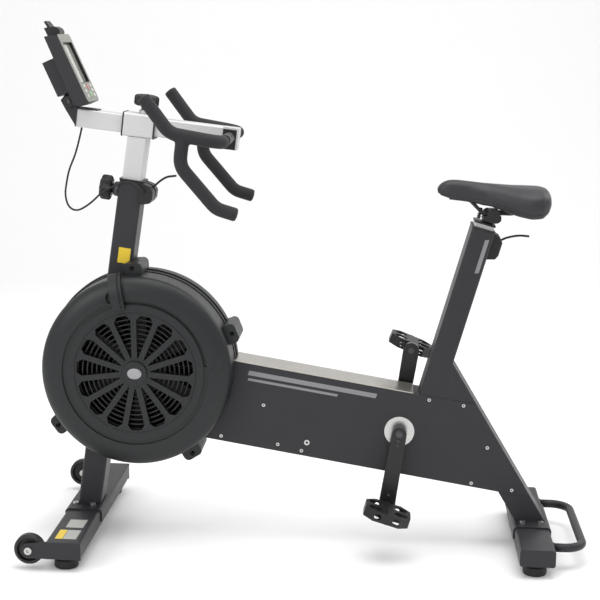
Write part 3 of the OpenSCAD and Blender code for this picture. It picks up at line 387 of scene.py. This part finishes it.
CABLE_DIAMETER = 0.0045
CABLE_ROUTE = [
    (-0.5455, -0.008, 0.9655), (-0.5515, -0.008, 0.940), (-0.5565, -0.009, 0.920),
    (-0.5625, -0.010, 0.900), (-0.5745, -0.013, 0.868), (-0.5805, -0.016, 0.838),
    (-0.5825, -0.020, 0.812), (-0.5765, -0.024, 0.789), (-0.5645, -0.028, 0.778),
    (-0.5505, -0.031, 0.777), (-0.5355, -0.034, 0.784), (-0.5165, -0.037, 0.798),
    (-0.4985, -0.040, 0.815), (-0.4835, -0.042, 0.826), (-0.4665, -0.0425, 0.835),
    (-0.4515, -0.043, 0.842), (-0.4365, -0.044, 0.846), (-0.4235, -0.046, 0.845),
    (-0.412, -0.0485, 0.840), (-0.401, -0.0505, 0.8305), (-0.398, -0.049, 0.827),
    (-0.396, -0.046, 0.8245), (-0.395, -0.0415, 0.8235), (-0.395, -0.0398, 0.8235),
]


def add_cable(rubber):
    """The console's cable, which hangs from the slider and goes back in at the post's clamp."""
    path = smooth_path(CABLE_ROUTE, 4)
    mesh = new_mesh("console_cord", *tube(path, CABLE_DIAMETER / 2, sides=12))
    mesh.materials.append(rubber)
    cable = bpy.data.objects.new("console_cord", mesh)
    bpy.context.scene.collection.objects.link(cable)
    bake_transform(cable)
    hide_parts("console_cable")
    path_length(path)


# ---------- carried-over nodes ----------

def dress(names, material, bevel):
    """Gives CAD nodes their material and soft edges, without touching their meshes' points."""
    for name in names:
        node = nodes[name]
        mesh = node.data
        if "custom_normal" in mesh.attributes:
            mesh.attributes.remove(mesh.attributes["custom_normal"])
        mesh.materials.clear()
        mesh.materials.append(material)
        mesh.polygons.foreach_set("use_smooth", [True] * len(mesh.polygons))
        weld = node.modifiers.new("weld", "WELD")
        weld.merge_threshold = 0.00002
        flat = node.modifiers.new("flat", "DECIMATE")
        flat.decimate_type = "DISSOLVE"
        flat.angle_limit = radians(0.6)
        edges = node.modifiers.new("edges", "BEVEL")
        edges.width = bevel
        edges.segments = 2
        edges.limit_method = "ANGLE"
        edges.angle_limit = radians(32)
        normals = node.modifiers.new("normals", "WEIGHTED_NORMAL")
        normals.keep_sharp = True


# ---------- handlebar ----------

GRIP_Y = 0.195
GRIP_R = 0.015

# What the remesh and the smoothing take off the foam's radius
FOAM_ALLOWANCE = 0.0003


def grip_paths():
    """Centre lines of the left grip's horn with its side run, and of its dropped tail."""
    low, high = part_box("handlebar")
    cross_x = (low[0] + high[0]) / 2
    cross_z = (low[2] + high[2]) / 2
    cross_end = -high[1]
    horn = bend_path(
        [(cross_x, cross_end, cross_z), (cross_x, -GRIP_Y, cross_z), (-0.314, -GRIP_Y, 0.970),
         (-0.371, -GRIP_Y, 1.045)], [0.034, 0.045], steps=10)
    tail = bend_path(
        [(-0.2845, -GRIP_Y, 0.9655), (-0.2915, -GRIP_Y, 0.900), (-0.2105, -GRIP_Y, 0.808),
         (-0.167, -GRIP_Y, 0.7957)], [0.045, 0.045], steps=10)
    return horn, tail


def melt(piece, voxel, rounds):
    """Remeshes a piece into one skin and smooths the place where its tubes meet."""
    remesh = piece.modifiers.new("remesh", "REMESH")
    remesh.mode = "VOXEL"
    remesh.voxel_size = voxel
    remesh.use_smooth_shade = True
    smooth = piece.modifiers.new("smooth", "SMOOTH")
    smooth.factor = 0.5
    smooth.iterations = rounds
    apply_modifiers(piece)


def apply_modifiers(piece):
    """Bakes a piece's modifiers into its mesh."""
    baked = bpy.data.meshes.new_from_object(
        piece.evaluated_get(bpy.context.evaluated_depsgraph_get()))
    piece.modifiers.clear()
    piece.data = baked


def add_grips(foam):
    """Both foam grips: each horn and its dropped tail melted into one skin."""
    horn, tail = grip_paths()
    for name, side in (("left_grip", 1), ("right_grip", -1)):
        flip = Matrix.Diagonal((1, side, 1))
        skin = joined(
            tube([flip @ p for p in horn], GRIP_R + FOAM_ALLOWANCE, 32, dome=0.004),
            tube([flip @ p for p in tail], GRIP_R + FOAM_ALLOWANCE, 32, dome=0.004),
        )
        grip = add_piece(name, new_mesh(name, *skin), foam, "slider", "handlebar_grips")
        melt(grip, voxel=0.0022, rounds=10)


# ---------- knobs, levers and small trim ----------

def lobes(a):
    """The outline of a hand knob with eight round lobes, as a share of its radius."""
    return 0.90 + 0.10 * cos(8 * a)


def star_knob(place, axis, stem, height):
    """A lobed head with a domed top on a round stem, which starts at place and hides a screw."""
    radius = 0.029
    edge = 0.005
    head = [
        (0.012, 0), (radius - edge, 0), (radius - 0.0015, edge * 0.4), (radius, edge),
        (radius, height * 0.72), (radius - 0.0015, height * 0.84),
        (radius - 0.006, height * 0.93), (radius * 0.5, height * 0.985), (0.002, height),
    ]
    at = Vector(place)
    way = Vector(axis)
    return joined(
        turned([(0.011, 0), (0.011, stem)], at, way, 32),
        turned([(0.005, -0.014), (0.005, 0.001)], at, way, 24),
        turned(head, at + way * stem, way, 128, lobes),
    )


def ribs(a):
    """The outline of a nut with 24 fine ribs, as a share of its radius."""
    return 1 + 0.035 * cos(24 * a)


def collar(place, axis, radius, length):
    """A knurled round nut."""
    profile = [(radius - 0.0015, 0), (radius, 0.0015), (radius, length - 0.0015),
               (radius - 0.0015, length)]
    return turned(profile, place, axis, 144, ribs)


def add_knobs(plastic, steel):
    """The star knob and its round nut on the post, and the star knob on the T-shaped head."""
    nut_back, post_back, tee_back = 0.0215, 0.0068, 0.0142
    post = joints["post_knob_turn"]
    place, axis = Vector(post["pos_m"]), Vector(post["axis"])
    head = star_knob(place - axis * post_back, axis, stem=0.0042, height=0.029)
    mesh = new_mesh("post_star", *head)
    add_piece("post_star", mesh, plastic, "post_knob", "post_knob")
    nut = collar(place - axis * nut_back, axis, radius=0.0165, length=0.0125)
    mesh = new_mesh("post_nut", *nut)
    add_piece("post_nut", mesh, steel, "frame")

    tee = joints["tee_knob_turn"]
    place, axis = Vector(tee["pos_m"]), Vector(tee["axis"])
    head = star_knob(place - axis * tee_back, axis, stem=0.0087, height=0.027)
    mesh = new_mesh("tee_star", *head)
    add_piece("tee_star", mesh, plastic, "tee_knob", "tee_knob")


def add_pivot_caps(plastic, steel):
    """Round cap with a rivet on each end of the console's tilt pin."""
    x, _, z = joints["console_tilt"]["pos_m"]
    half_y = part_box("console_bracket")[1][1]
    rivet_y = half_y + 0.0038
    cap = [(0.0125, 0), (0.0135, 0.0008), (0.0135, 0.0028), (0.0125, 0.0036), (0.0055, 0.004)]
    rivet = [(0.005, 0), (0.0052, 0.0006), (0.004, 0.0016), (0.001, 0.002)]
    for name, side in (("left", -1), ("right", 1)):
        mesh = new_mesh("pivot_cap", *turned(cap, (x, side * half_y, z), (0, side, 0), 48))
        add_piece(f"pivot_cap_{name}", mesh, plastic, "slider")
        mesh = new_mesh("pivot_rivet", *turned(rivet, (x, side * rivet_y, z), (0, side, 0), 32))
        add_piece(f"pivot_rivet_{name}", mesh, steel, "slider")


# How far the console's face leans back at rest
CONSOLE_LEAN = radians(25.2)


def on_console(x, y, z):
    """A point given in front of the tilt pin, across the console and up its face."""
    out = Vector((cos(CONSOLE_LEAN), 0, sin(CONSOLE_LEAN)))
    up = Vector((-sin(CONSOLE_LEAN), 0, cos(CONSOLE_LEAN)))
    return Vector(joints["console_tilt"]["pos_m"]) + out * x + up * z + Vector((0, y, 0))


def add_window_shade_lining(plastic):
    """Dark plastic lining on the walls of the recess that the screen sits in: painted shade,
    standing in for the shadow that falls on those walls.
    """
    half_y = 0.0469
    low, high = 0.0251, 0.1249
    deep, face = 0.0402, 0.0467
    thick = 0.0012
    rings = []
    for x, inset in ((deep, 0), (face, 0), (face, thick), (deep, thick)):
        corners = [
            (-half_y + inset, low + inset), (half_y - inset, low + inset),
            (half_y - inset, high - inset), (-half_y + inset, high - inset),
        ]
        rings.append([on_console(x, y, z) for y, z in corners])
    # the lining's dark plastic is painted shade over the recess walls, in place of the bezel's
    # paler plastic
    mesh = new_mesh("window_shade_lining", *loft(rings, closed=True), smooth=False)
    add_piece("window_shade_lining", mesh, plastic, "console")


def add_crank_caps(steel):
    """Dust cap on each crank's hub, and three small screws along the arm to its pedal."""
    screws_along = (0.016, 0.027, 0.148)
    hub = Vector(joints["crank_spin"]["pos_m"])
    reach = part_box("left_crank")[0][1]
    cap = [(0.0085, 0), (0.009, 0.0006), (0.008, 0.0016), (0.004, 0.002)]
    screw = [(0.0032, 0), (0.0034, 0.0005), (0.0028, 0.0012), (0.0012, 0.0012), (0.001, 0.0004)]
    for name, side in (("left", 1), ("right", -1)):
        pedal = Vector(joints[f"{name}_pedal_spin"]["pos_m"])
        way = Vector((pedal.x - hub.x, 0, pedal.z - hub.z)).normalized()
        out = Vector((0, -side, 0))
        start = Vector((hub.x, side * reach, hub.z))
        parts = [turned(cap, start, out, 40)]
        parts += [turned(screw, start + way * d, out, 24) for d in screws_along]
        mesh = new_mesh("crank_cap", *joined(*parts))
        add_piece(f"crank_caps_{name}", mesh, steel, "crank")


# The left fan shell's rim is a quarter of an oval: its centre's radius and y, and its half widths
RIM_R = 0.171
RIM_Y = -0.099
RIM_WIDE = 0.050
RIM_DEEP = 0.028

# The angle of the damper lever at rest, in degrees up from straight back
DAMPER_ANGLE = 102


def on_fan(radius, angle, y):
    """A point of the fan housing: angle in degrees up from straight back."""
    x, _, z = joints["fan_spin"]["pos_m"]
    return Vector((x + radius * cos(radians(angle)), y, z + radius * sin(radians(angle))))


def on_lever(across, radius, y):
    """A point of the damper lever: across its middle line to the front, and out from the hub."""
    middle = on_fan(radius, DAMPER_ANGLE, y)
    a = radians(DAMPER_ANGLE)
    return middle + Vector((-across * sin(a), 0, across * cos(a)))


def rim_depth(radius, lift):
    """The y of a point that stands lift off the front of the shell at a radius."""
    share = max(radius - RIM_R, 0) / RIM_WIDE
    return RIM_Y - RIM_DEEP * (1 - share ** 2) ** 0.5 - lift


def on_face(back, up):
    """A point on the front of the left fan shell, given back from its hub and up from it."""
    x, _, z = joints["fan_spin"]["pos_m"]
    return Vector((x + back, rim_depth((back ** 2 + up ** 2) ** 0.5, 0), z + up))


def lever_line(lift):
    """Radius and y of points up the face of the shell and over its rim, lifted off it."""
    line = [(r, rim_depth(r, lift)) for r in (0.1535, 0.162)]
    for t in range(90, 0, -8):
        line.append((RIM_R + (RIM_WIDE + lift) * cos(radians(t)),
                     RIM_Y - (RIM_DEEP + lift) * sin(radians(t))))
    return line


def lever_strip(near, far, height):
    """A strip along the damper lever with two softened edges, between two distances across it."""
    low, high, edge = 0.0012, height, 0.0012
    corners = [(near, low), (far, low), (far, high - edge), (far - edge, high),
               (near + edge, high), (near, high - edge)]
    lines = [lever_line(lift) for _, lift in corners]
    return loft([
        [on_lever(across, *line[i]) for (across, _), line in zip(corners, lines)]
        for i in range(len(lines[0]))
    ])


def add_damper_grip(housing):
    """Broad blade, side rail and thumb loop of the damper lever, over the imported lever."""
    blade = lever_strip(near=-0.0030, far=0.0175, height=0.0115)
    rail = lever_strip(near=-0.0112, far=-0.0062, height=0.0120)
    mesh = new_mesh("damper_blade", *joined(blade, rail), smooth=False)
    add_piece("damper_blade", mesh, housing, "damper")

    loop = [(0.016, 0.166), (0.024, 0.168), (0.029, 0.175), (0.029, 0.187), (0.024, 0.194),
            (0.016, 0.196)]
    path = smooth_path([on_lever(across, r, rim_depth(r, 0.006)) for across, r in loop], 6)
    mesh = new_mesh("damper_loop", *tube(path, 0.0030, 20, dome=0.001))
    add_piece("damper_loop", mesh, housing, "damper")


def add_face_trim(housing):
    """Raised ring outside the air openings, and the curved mark at the end of the lever's way."""
    ring_r, ring_sunk = 0.1405, 0.0021
    ring = [on_fan(ring_r, a, RIM_Y - RIM_DEEP + ring_sunk) for a in range(0, 360, 4)]
    mesh = new_mesh("face_ring", *tube(ring, 0.0018, 12, closed=True, flatten=0.6))
    add_piece("face_ring", mesh, housing, "frame")

    mark_back, mark_up = 0.190, 0.0205
    half_wide, half_tall = 0.0140, 0.0100
    path = [on_face(mark_back + half_wide * cos(radians(a)), mark_up + half_tall * sin(radians(a)))
            for a in range(185, 360, 10)]
    mesh = new_mesh("dial_mark", *tube(path, 0.0016, 12, dome=0.001))
    add_piece("dial_mark", mesh, housing, "frame")


def lean(height_joint):
    """The two directions of a leaning tube: across it to the rear, and up along it."""
    up = Vector(joints[height_joint]["axis"])
    return Vector((up.z, 0, -up.x)), up


def lever_skin(joint, height_joint, shape):
    """Pin, cam and curved handle of a clamp lever. shape is in millimetres from its pin."""
    back, up = lean(height_joint)
    pin = Vector(joints[joint]["pos_m"])
    route = [pin] + [pin + back * x / 1000 + up * z / 1000 for x, z in shape]
    return joined(
        turned([(0.004, -0.017), (0.004, 0.017)], pin, (0, 1, 0), 24),
        turned([(0.0075, -0.005), (0.008, -0.0045), (0.008, 0.0045), (0.0075, 0.005)],
               pin, (0, 1, 0), 32),
        tube(smooth_path(route, 6), 0.0032, 20, dome=0.002, flatten=0.8),
    )


def add_levers(plastic):
    """The clamp levers behind the handlebar post and behind the seat tube."""
    post_shape = [(5, 4), (14, 16), (24, 27), (36, 36), (48, 40), (56, 42)]
    seat_shape = [(6, 7), (17, 17), (28, 24), (40, 30), (52, 34), (67, 37)]
    for name, height_joint, shape in (
        ("post_lever", "handlebar_height", post_shape), ("seat_lever", "seat_height", seat_shape),
    ):
        skin = lever_skin(name + "_turn", height_joint, shape)
        piece = name + "_handle"
        add_piece(piece, new_mesh(piece, *skin), plastic, name, name)


# ---------- rear handle ----------

def add_rear_handle(paint):
    """The bent tube that the bike is lifted by, with a weld bead at each end."""
    corner, bead = 0.045, 0.0018
    low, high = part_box("rear_handle")
    radius = (high[2] - low[2]) / 2
    z = (high[2] + low[2]) / 2
    x = high[0] - radius
    y = high[1] - radius
    path = bend_path([(low[0], -y, z), (x, -y, z), (x, y, z), (low[0], y, z)],
                     [corner, corner], steps=14)
    mesh = new_mesh("carry_loop", *tube(path, radius, 32, side=(0, 0, 1)))
    add_piece("carry_loop", mesh, paint, "frame", "rear_handle")
    for side in (-1, 1):
        weld = tube([(low[0] - 0.0005, side * y, z), (low[0] + 0.003, side * y, z)],
                    radius + bead, 32, dome=0.0015, side=(0, 0, 1))
        name = f"handle_weld_{'left' if side < 0 else 'right'}"
        add_piece(name, new_mesh(name, *weld), paint, "frame")


# ---------- saddle ----------

# The pad's upper and lower edge from the side, and half its width from above, from nose to tail
TOP_LINE = [(0.2745, 0.839), (0.280, 0.849), (0.288, 0.856), (0.301, 0.861), (0.325, 0.860),
            (0.375, 0.855), (0.445, 0.850), (0.512, 0.849), (0.527, 0.845), (0.535, 0.836),
            (0.537, 0.824)]
LOW_LINE = [(0.2745, 0.837), (0.278, 0.834), (0.288, 0.830), (0.355, 0.823), (0.400, 0.816),
            (0.435, 0.804), (0.460, 0.794), (0.490, 0.788), (0.513, 0.790), (0.529, 0.801),
            (0.537, 0.820)]
HALF_PLAN = [(0.2745, 0.003), (0.278, 0.012), (0.296, 0.020), (0.346, 0.026), (0.390, 0.036),
             (0.430, 0.058), (0.463, 0.078), (0.490, 0.086), (0.512, 0.082), (0.529, 0.064),
             (0.537, 0.035)]

# The height of the flat hollow under the pad
UNDERSIDE = 0.829

# What the remesh and the smoothing take off the pad's ends, its top and sides, and its lower rim
END_ALLOWANCE = 0.001
SIDE_ALLOWANCE = 0.0015
LOW_ALLOWANCE = 0.004


def along(line, x):
    """The value of a line of (x, value) points at x."""
    for (x0, v0), (x1, v1) in zip(line, line[1:]):
        if x <= x1:
            return v0 + (v1 - v0) * (x - x0) / (x1 - x0)
    return line[-1][1]


def saddle_ring(x):
    """One cross-section of the pad: crown, side, rim and the hollow underneath."""
    width = along(HALF_PLAN, x) + SIDE_ALLOWANCE
    top = along(TOP_LINE, x) + SIDE_ALLOWANCE
    low = along(LOW_LINE, x) - LOW_ALLOWANCE
    mid = low + 0.5 * (top - low)
    under = max(UNDERSIDE, low + 0.004)
    half = []
    for a in (90, 78, 66, 54, 42, 30, 18, 6):
        half.append((width * cos(radians(a)) ** 0.75, mid + (top - mid) * sin(radians(a)) ** 0.8))
    for a in (10, 35, 60, 85):
        half.append((width * (1 - 0.14 * sin(radians(a)) ** 2),
                     mid - (mid - low) * sin(radians(a))))
    rim = half[-1][0]
    inner = max(rim - 0.016, rim * 0.4)
    half += [(rim - 0.003, low), (inner, low + 0.003), (inner * 0.96, (low + under) / 2),
             (inner * 0.9, under), (0, under)]
    right = [Vector((x, y, z)) for y, z in half]
    left = [Vector((x, -y, z)) for y, z in reversed(half[1:-1])]
    return right + left


def swell(piece, voxel, cap):
    """Blows a pad up as cloth, holds each point within cap of its start, and smooths it."""
    pressure, frames = 4.0, 20
    remesh = piece.modifiers.new("remesh", "REMESH")
    remesh.mode = "VOXEL"
    remesh.voxel_size = voxel
    apply_modifiers(piece)
    before = [v.co.copy() for v in piece.data.vertices]
    cloth = piece.modifiers.new("cloth", "CLOTH")
    cloth.settings.quality = 5
    cloth.settings.tension_stiffness = 20
    cloth.settings.compression_stiffness = 20
    cloth.settings.bending_stiffness = 2
    cloth.settings.use_pressure = True
    cloth.settings.uniform_pressure_force = pressure
    cloth.settings.effector_weights.gravity = 0
    cloth.point_cache.frame_start = 1
    cloth.point_cache.frame_end = frames
    for number in range(1, frames + 1):
        bpy.context.scene.frame_set(number)
    apply_modifiers(piece)
    bpy.context.scene.frame_set(1)
    for vertex, start in zip(piece.data.vertices, before):
        move = vertex.co - start
        if move.length > cap:
            vertex.co = start + move * cap / move.length
    smooth = piece.modifiers.new("smooth", "SMOOTH")
    smooth.factor = 0.5
    smooth.iterations = 5
    finer = piece.modifiers.new("finer", "SUBSURF")
    finer.levels = 1
    apply_modifiers(piece)
    piece.data.polygons.foreach_set("use_smooth", [True] * len(piece.data.polygons))


def add_saddle(skin, thread, plastic):
    """The padded saddle with its seam, its hard base and its rails."""
    first, last = HALF_PLAN[0][0], HALF_PLAN[-1][0]
    count = 54
    rings = []
    for i in range(count):
        share = (i + 0.15) / (count - 0.7)
        ring = saddle_ring(first + (last - first) * share)
        rings.append([p + Vector((END_ALLOWANCE * (2 * share - 1), 0, 0)) for p in ring])
    pad = add_piece("saddle_pad", new_mesh("saddle_pad", *loft(rings)), skin, "saddle",
                    "saddle_cushion")
    swell(pad, voxel=0.004, cap=0.005)
    add_saddle_seam(pad, thread)
    add_saddle_base(plastic)
    add_rails(plastic)


def add_saddle_seam(pad, thread):
    """Raised seam round the pad, where the top panel is sewn to the side panel."""
    surface = BVHTree.FromObject(pad, bpy.context.evaluated_depsgraph_get())
    first, last = HALF_PLAN[0][0], HALF_PLAN[-1][0]
    count = 60
    path = []
    for side in (-1, 1):
        steps = range(count + 1) if side < 0 else range(count - 1, 0, -1)
        for i in steps:
            x = first + (last - first) * i / count
            low, top = along(LOW_LINE, x), along(TOP_LINE, x)
            aim = Vector((x, side * (along(HALF_PLAN, x) + 0.004), low + 0.10 * (top - low)))
            found, normal, _, _ = surface.find_nearest(aim)
            path.append(found + normal * 0.0001)
    points, faces = tube(path, 0.0007, 10, closed=True, side=(0, 0, 1))
    add_piece("saddle_seam", new_mesh("saddle_seam", points, faces), thread, "saddle")


def add_saddle_base(plastic):
    """Hard shell under the pad, which the rails clip into. Both its ends are round from above."""
    start, length, widest, thick = 0.338, 0.160, 0.040, 0.0055
    count = 30
    rings = []
    for i in range(count + 1):
        x = start + length * i / count
        ends = min(1, ((i + 0.6) / 4) ** 0.5, ((count + 0.6 - i) / 4) ** 0.5)
        half = min(along(HALF_PLAN, x) * 0.72, widest) * ends
        top = UNDERSIDE + 0.0005
        low = max(UNDERSIDE - thick, along(LOW_LINE, x) + 0.0004)
        rings.append([
            Vector((x, y, z)) for y, z in (
                (-half, top), (half, top), (half - 0.001, low + 0.001), (half - 0.004, low),
                (-half + 0.004, low), (-half + 0.001, low + 0.001))
        ])
    mesh = new_mesh("saddle_shell", *loft(rings), smooth=False)
    add_piece("saddle_shell", mesh, plastic, "saddle")


def add_rails(plastic):
    """The two rails, bent from rod, that the saddle clamp holds."""
    routes = [(0.306, 0.010, 0.825), (0.351, 0.019, 0.822), (0.381, 0.022, 0.793),
              (0.452, 0.022, 0.793), (0.484, 0.036, 0.825)]
    skins = []
    for side in (-1, 1):
        path = bend_path([(x, side * y, z) for x, y, z in routes], [0.012, 0.012, 0.018])
        skins.append(tube(path, 0.0035, 20, dome=0.001))
    mesh = new_mesh("saddle_rods", *joined(*skins))
    add_piece("saddle_rods", mesh, plastic, "saddle", "saddle_rails")


# ---------- plain badge and printed films ----------

FILM_THICK = 0.0002

# The upper edge of the box's sides: its height at x = 0, and its rise along x
BOX_EDGE_Z = 0.4063
BOX_EDGE_RISE = -0.152


def add_badge(steel):
    """Plain oval badge on the hub of the fan housing."""
    half_wide, half_tall = 0.0165, 0.0125
    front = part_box("left_fan_shell")[0][1]
    x, _, z = joints["fan_spin"]["pos_m"]
    profile = [(1, 0), (1, 0.0008), (0.96, 0.0014), (0.5, 0.0018), (0.02, 0.0020)]
    points, faces = turned(profile, (0, 0, 0), (0, -1, 0), 64)
    points = [Vector((x + p.x * half_wide, front + p.y, z + p.z * half_tall)) for p in points]
    add_piece("hub_badge", new_mesh("hub_badge", points, faces), steel, "frame")


def film(corners, out):
    """A thin flat shape that stands proud of a surface in the direction out."""
    lift = Vector(out) * FILM_THICK
    base = [Vector(p) for p in corners]
    return loft([base, [p + lift for p in base]])


def add_side_stripes(pale):
    """Two plain slanted stripes along the top of each side of the box."""
    slant = 0.35
    start = -0.150
    low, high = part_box("side_covers")

    def height(x):
        return BOX_EDGE_Z + BOX_EDGE_RISE * x

    for side, y in (("left", low[1]), ("right", high[1])):
        out = (0, -1 if y < 0 else 1, 0)
        skins = []
        for end, drop, tall in ((0.150, 0.016, 0.011), (0.060, 0.034, 0.006)):
            shift = slant * tall
            skins.append(film([
                (start, y, height(start) - drop - tall), (end, y, height(end) - drop - tall),
                (end + shift, y, height(end + shift) - drop),
                (start + shift, y, height(start + shift) - drop),
            ], out))
        name = f"stripes_{side}"
        mesh = new_mesh(name, *joined(*skins), smooth=False)
        add_piece(name, mesh, pale, "frame")


def add_seat_stripe(pale):
    """One plain stripe up each side of the seat tube."""
    shape = ((0, -0.075), (0.009, -0.072), (0.009, 0.008), (0, 0.005))
    before_pin = 0.030
    back, up = lean("seat_height")
    foot = Vector(joints["seat_lever_turn"]["pos_m"]) - back * before_pin
    half_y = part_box("seat_tube")[1][1]
    corners = [foot + back * x + up * z for x, z in shape]
    for name, side in (("seat_stripe_left", -1), ("seat_stripe_right", 1)):
        skin = film([(p.x, side * half_y, p.z) for p in corners], (0, side, 0))
        mesh = new_mesh("seat_stripe", *skin, smooth=False)
        add_piece(name, mesh, pale, "frame")


def add_labels(yellow, white):
    """Blank labels: one on the side of the handlebar post, two on the front beam."""
    half_wide, half_tall = 0.014, 0.018
    before_pin, below_pin = 0.034, 0.156
    back, up = lean("handlebar_height")
    pin = Vector(joints["post_lever_turn"]["pos_m"])
    middle = pin - back * before_pin - up * below_pin
    half_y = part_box("upper_front_post")[1][1]
    corners = [middle + back * half_wide * i + up * half_tall * k
               for i, k in ((-1, -1), (1, -1), (1, 1), (-1, 1))]
    skin = film([(p.x, -half_y, p.z) for p in corners], (0, -1, 0))
    mesh = new_mesh("post_label", *skin, smooth=False)
    add_piece("post_label", mesh, yellow, "frame")

    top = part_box("front_beam")[1][2]
    for name, film_material, x0, x1, y0, y1 in (
        ("beam_label_front", white, -0.548, -0.508, -0.205, -0.150),
        ("beam_label_rear", white, -0.538, -0.508, -0.282, -0.222),
        ("beam_label_edge", yellow, -0.556, -0.539, -0.282, -0.222),
    ):
        skin = film([(x0, y0, top), (x1, y0, top), (x1, y1, top), (x0, y1, top)], (0, 0, 1))
        add_piece(name, new_mesh(name, *skin, smooth=False), film_material, "frame")


# ---------- floor and light ----------

def add_floor():
    """A floor that curves up into a wall behind the bike, all one pale sheet."""
    half, top = 9, 6
    front, wall_y, turn_r = -7, 5, 1.5
    profile = [(front, 0)]
    for i in range(13):
        a = radians(90 * i / 12)
        profile.append((wall_y - turn_r + turn_r * sin(a), turn_r - turn_r * cos(a)))
    profile.append((wall_y, top))
    points = [(x, y, z) for y, z in profile for x in (-half, half)]
    faces = [(2 * i, 2 * i + 1, 2 * i + 3, 2 * i + 2) for i in range(len(profile) - 1)]
    mesh = bpy.data.meshes.new("floor")
    mesh.from_pydata(points, [], faces)
    mesh.polygons.foreach_set("use_smooth", [True] * len(faces))
    floor = bpy.data.objects.new("floor", mesh)
    floor.location.z = -0.0005
    bpy.context.scene.collection.objects.link(floor)
    mesh.materials.append(finish("floor_paper", (0.93, 0.93, 0.93), 0.9, speckle, 200, 0.00002,
                                 vary=0.004, patch=1.0))


def add_lamp(name, place, aim, size, watts):
    data = bpy.data.lights.new(name, "AREA")
    data.shape = "RECTANGLE"
    data.size, data.size_y = size
    data.energy = watts
    lamp = bpy.data.objects.new(name, data)
    way = Vector(aim) - Vector(place)
    turn = way.to_track_quat("-Z", "Y").to_matrix().to_4x4()
    lamp.matrix_world = Matrix.Translation(place) @ turn
    bpy.context.scene.collection.objects.link(lamp)


def add_light():
    """Even white surroundings, a wide lamp overhead and a weaker one on each side."""
    world = bpy.data.worlds.new("studio")
    bpy.context.scene.world = world
    world.use_nodes = True
    shade = world.node_tree.nodes["Background"]
    shade.inputs["Color"].default_value = (1, 1, 1, 1)
    shade.inputs["Strength"].default_value = 0.85
    add_lamp("top_light", (0.2, -0.4, 3.4), (0, 0, 0.4), (3.0, 2.4), 70)
    add_lamp("side_light", (-2.4, -2.6, 2.2), (0, 0, 0.6), (1.6, 1.6), 30)
    add_lamp("rear_light", (2.6, 1.6, 2.4), (0, 0, 0.6), (1.6, 1.6), 25)
    bpy.context.scene.view_settings.view_transform = "Standard"


# ---------- the bike ----------

add_camera()
add_cable(soft_rubber("cable_rubber", 0.012))

paint = powder_coat()
steel = bright_steel()
plastic = moulded_plastic()
housing = housing_plastic()
rubber = soft_rubber("black_rubber", 0.010)
alloy = turned_alloy()
dark_metal = dark_steel()

dress(["front_beam", "rear_beam", "lower_front_post", "upper_front_post", "fork_plates",
       "frame_box", "side_covers", "console_bracket", "handlebar"], paint, 0.0008)
dress(["left_crank", "right_crank"], gloss_black(), 0.0010)
dress(["seat_tube", "rear_leg"], paint, 0.0002)
dress(["handlebar_post"], silver_paint("silver_post", "Z"), 0.0006)
dress(["slider_tube", "tee_head"], silver_paint("silver_slider", "X"), 0.0006)
dress(["seat_post"], silver_paint("silver_seat_post", "Z"), 0.0006)
dress(["top_cover"], ground_steel(), 0.0006)
dress(["bearing_cups", "crank_axle", "fan_axle", "fasteners", "bearings"], steel, 0.0004)
dress(["pedal_spindles"], dark_metal, 0.0004)
dress(["left_fan_shell", "right_fan_shell", "damper_lever"], housing, 0.0008)
dress(["inlet_grilles", "post_clamp_housing", "seat_clamp_housing", "tube_sleeves",
       "left_pedal", "right_pedal", "fan_rotor", "tee_trims", "handlebar_clamp", "phone_clip",
       "saddle_clamp", "seat_post_head", "left_wheel", "right_wheel"], plastic, 0.0006)
dress(["console_case"], paint, 0.0012)
dress(["rubber_feet", "drive_belts"], rubber, 0.0008)
dress(["crank_pulley", "countershaft"], alloy, 0.0006)
dress(["console_bezel"], console_plastic(), 0.0005)
dress(["console_screen"], liquid_crystal(), 0.0002)
dress(["console_keypad"], key_plastic("key_rubber", (0.72, 0.70, 0.66)), 0.0005)
dress(["stop_button"], key_plastic("red_key", (0.45, 0.13, 0.14)), 0.0008)
dress(["start_button"], key_plastic("green_key", (0.24, 0.42, 0.18)), 0.0008)

add_grips(grip_foam())
add_knobs(plastic, dark_metal)
add_pivot_caps(plastic, dark_metal)
add_damper_grip(housing)
add_face_trim(housing)
# dark lining in the screen's recess: painted shade
add_window_shade_lining(plastic)
add_crank_caps(dark_metal)
add_levers(plastic)
add_rear_handle(paint)
add_saddle(saddle_skin(), stitch_thread(), plastic)

add_badge(printed_film("badge_silver", (0.30, 0.30, 0.31)))
pale = printed_film("pale_film", (0.20, 0.20, 0.21))
add_side_stripes(pale)
add_seat_stripe(pale)
add_labels(printed_film("yellow_film", (0.70, 0.50, 0.02)),
           printed_film("white_film", (0.36, 0.36, 0.34)))
add_floor()
add_light()
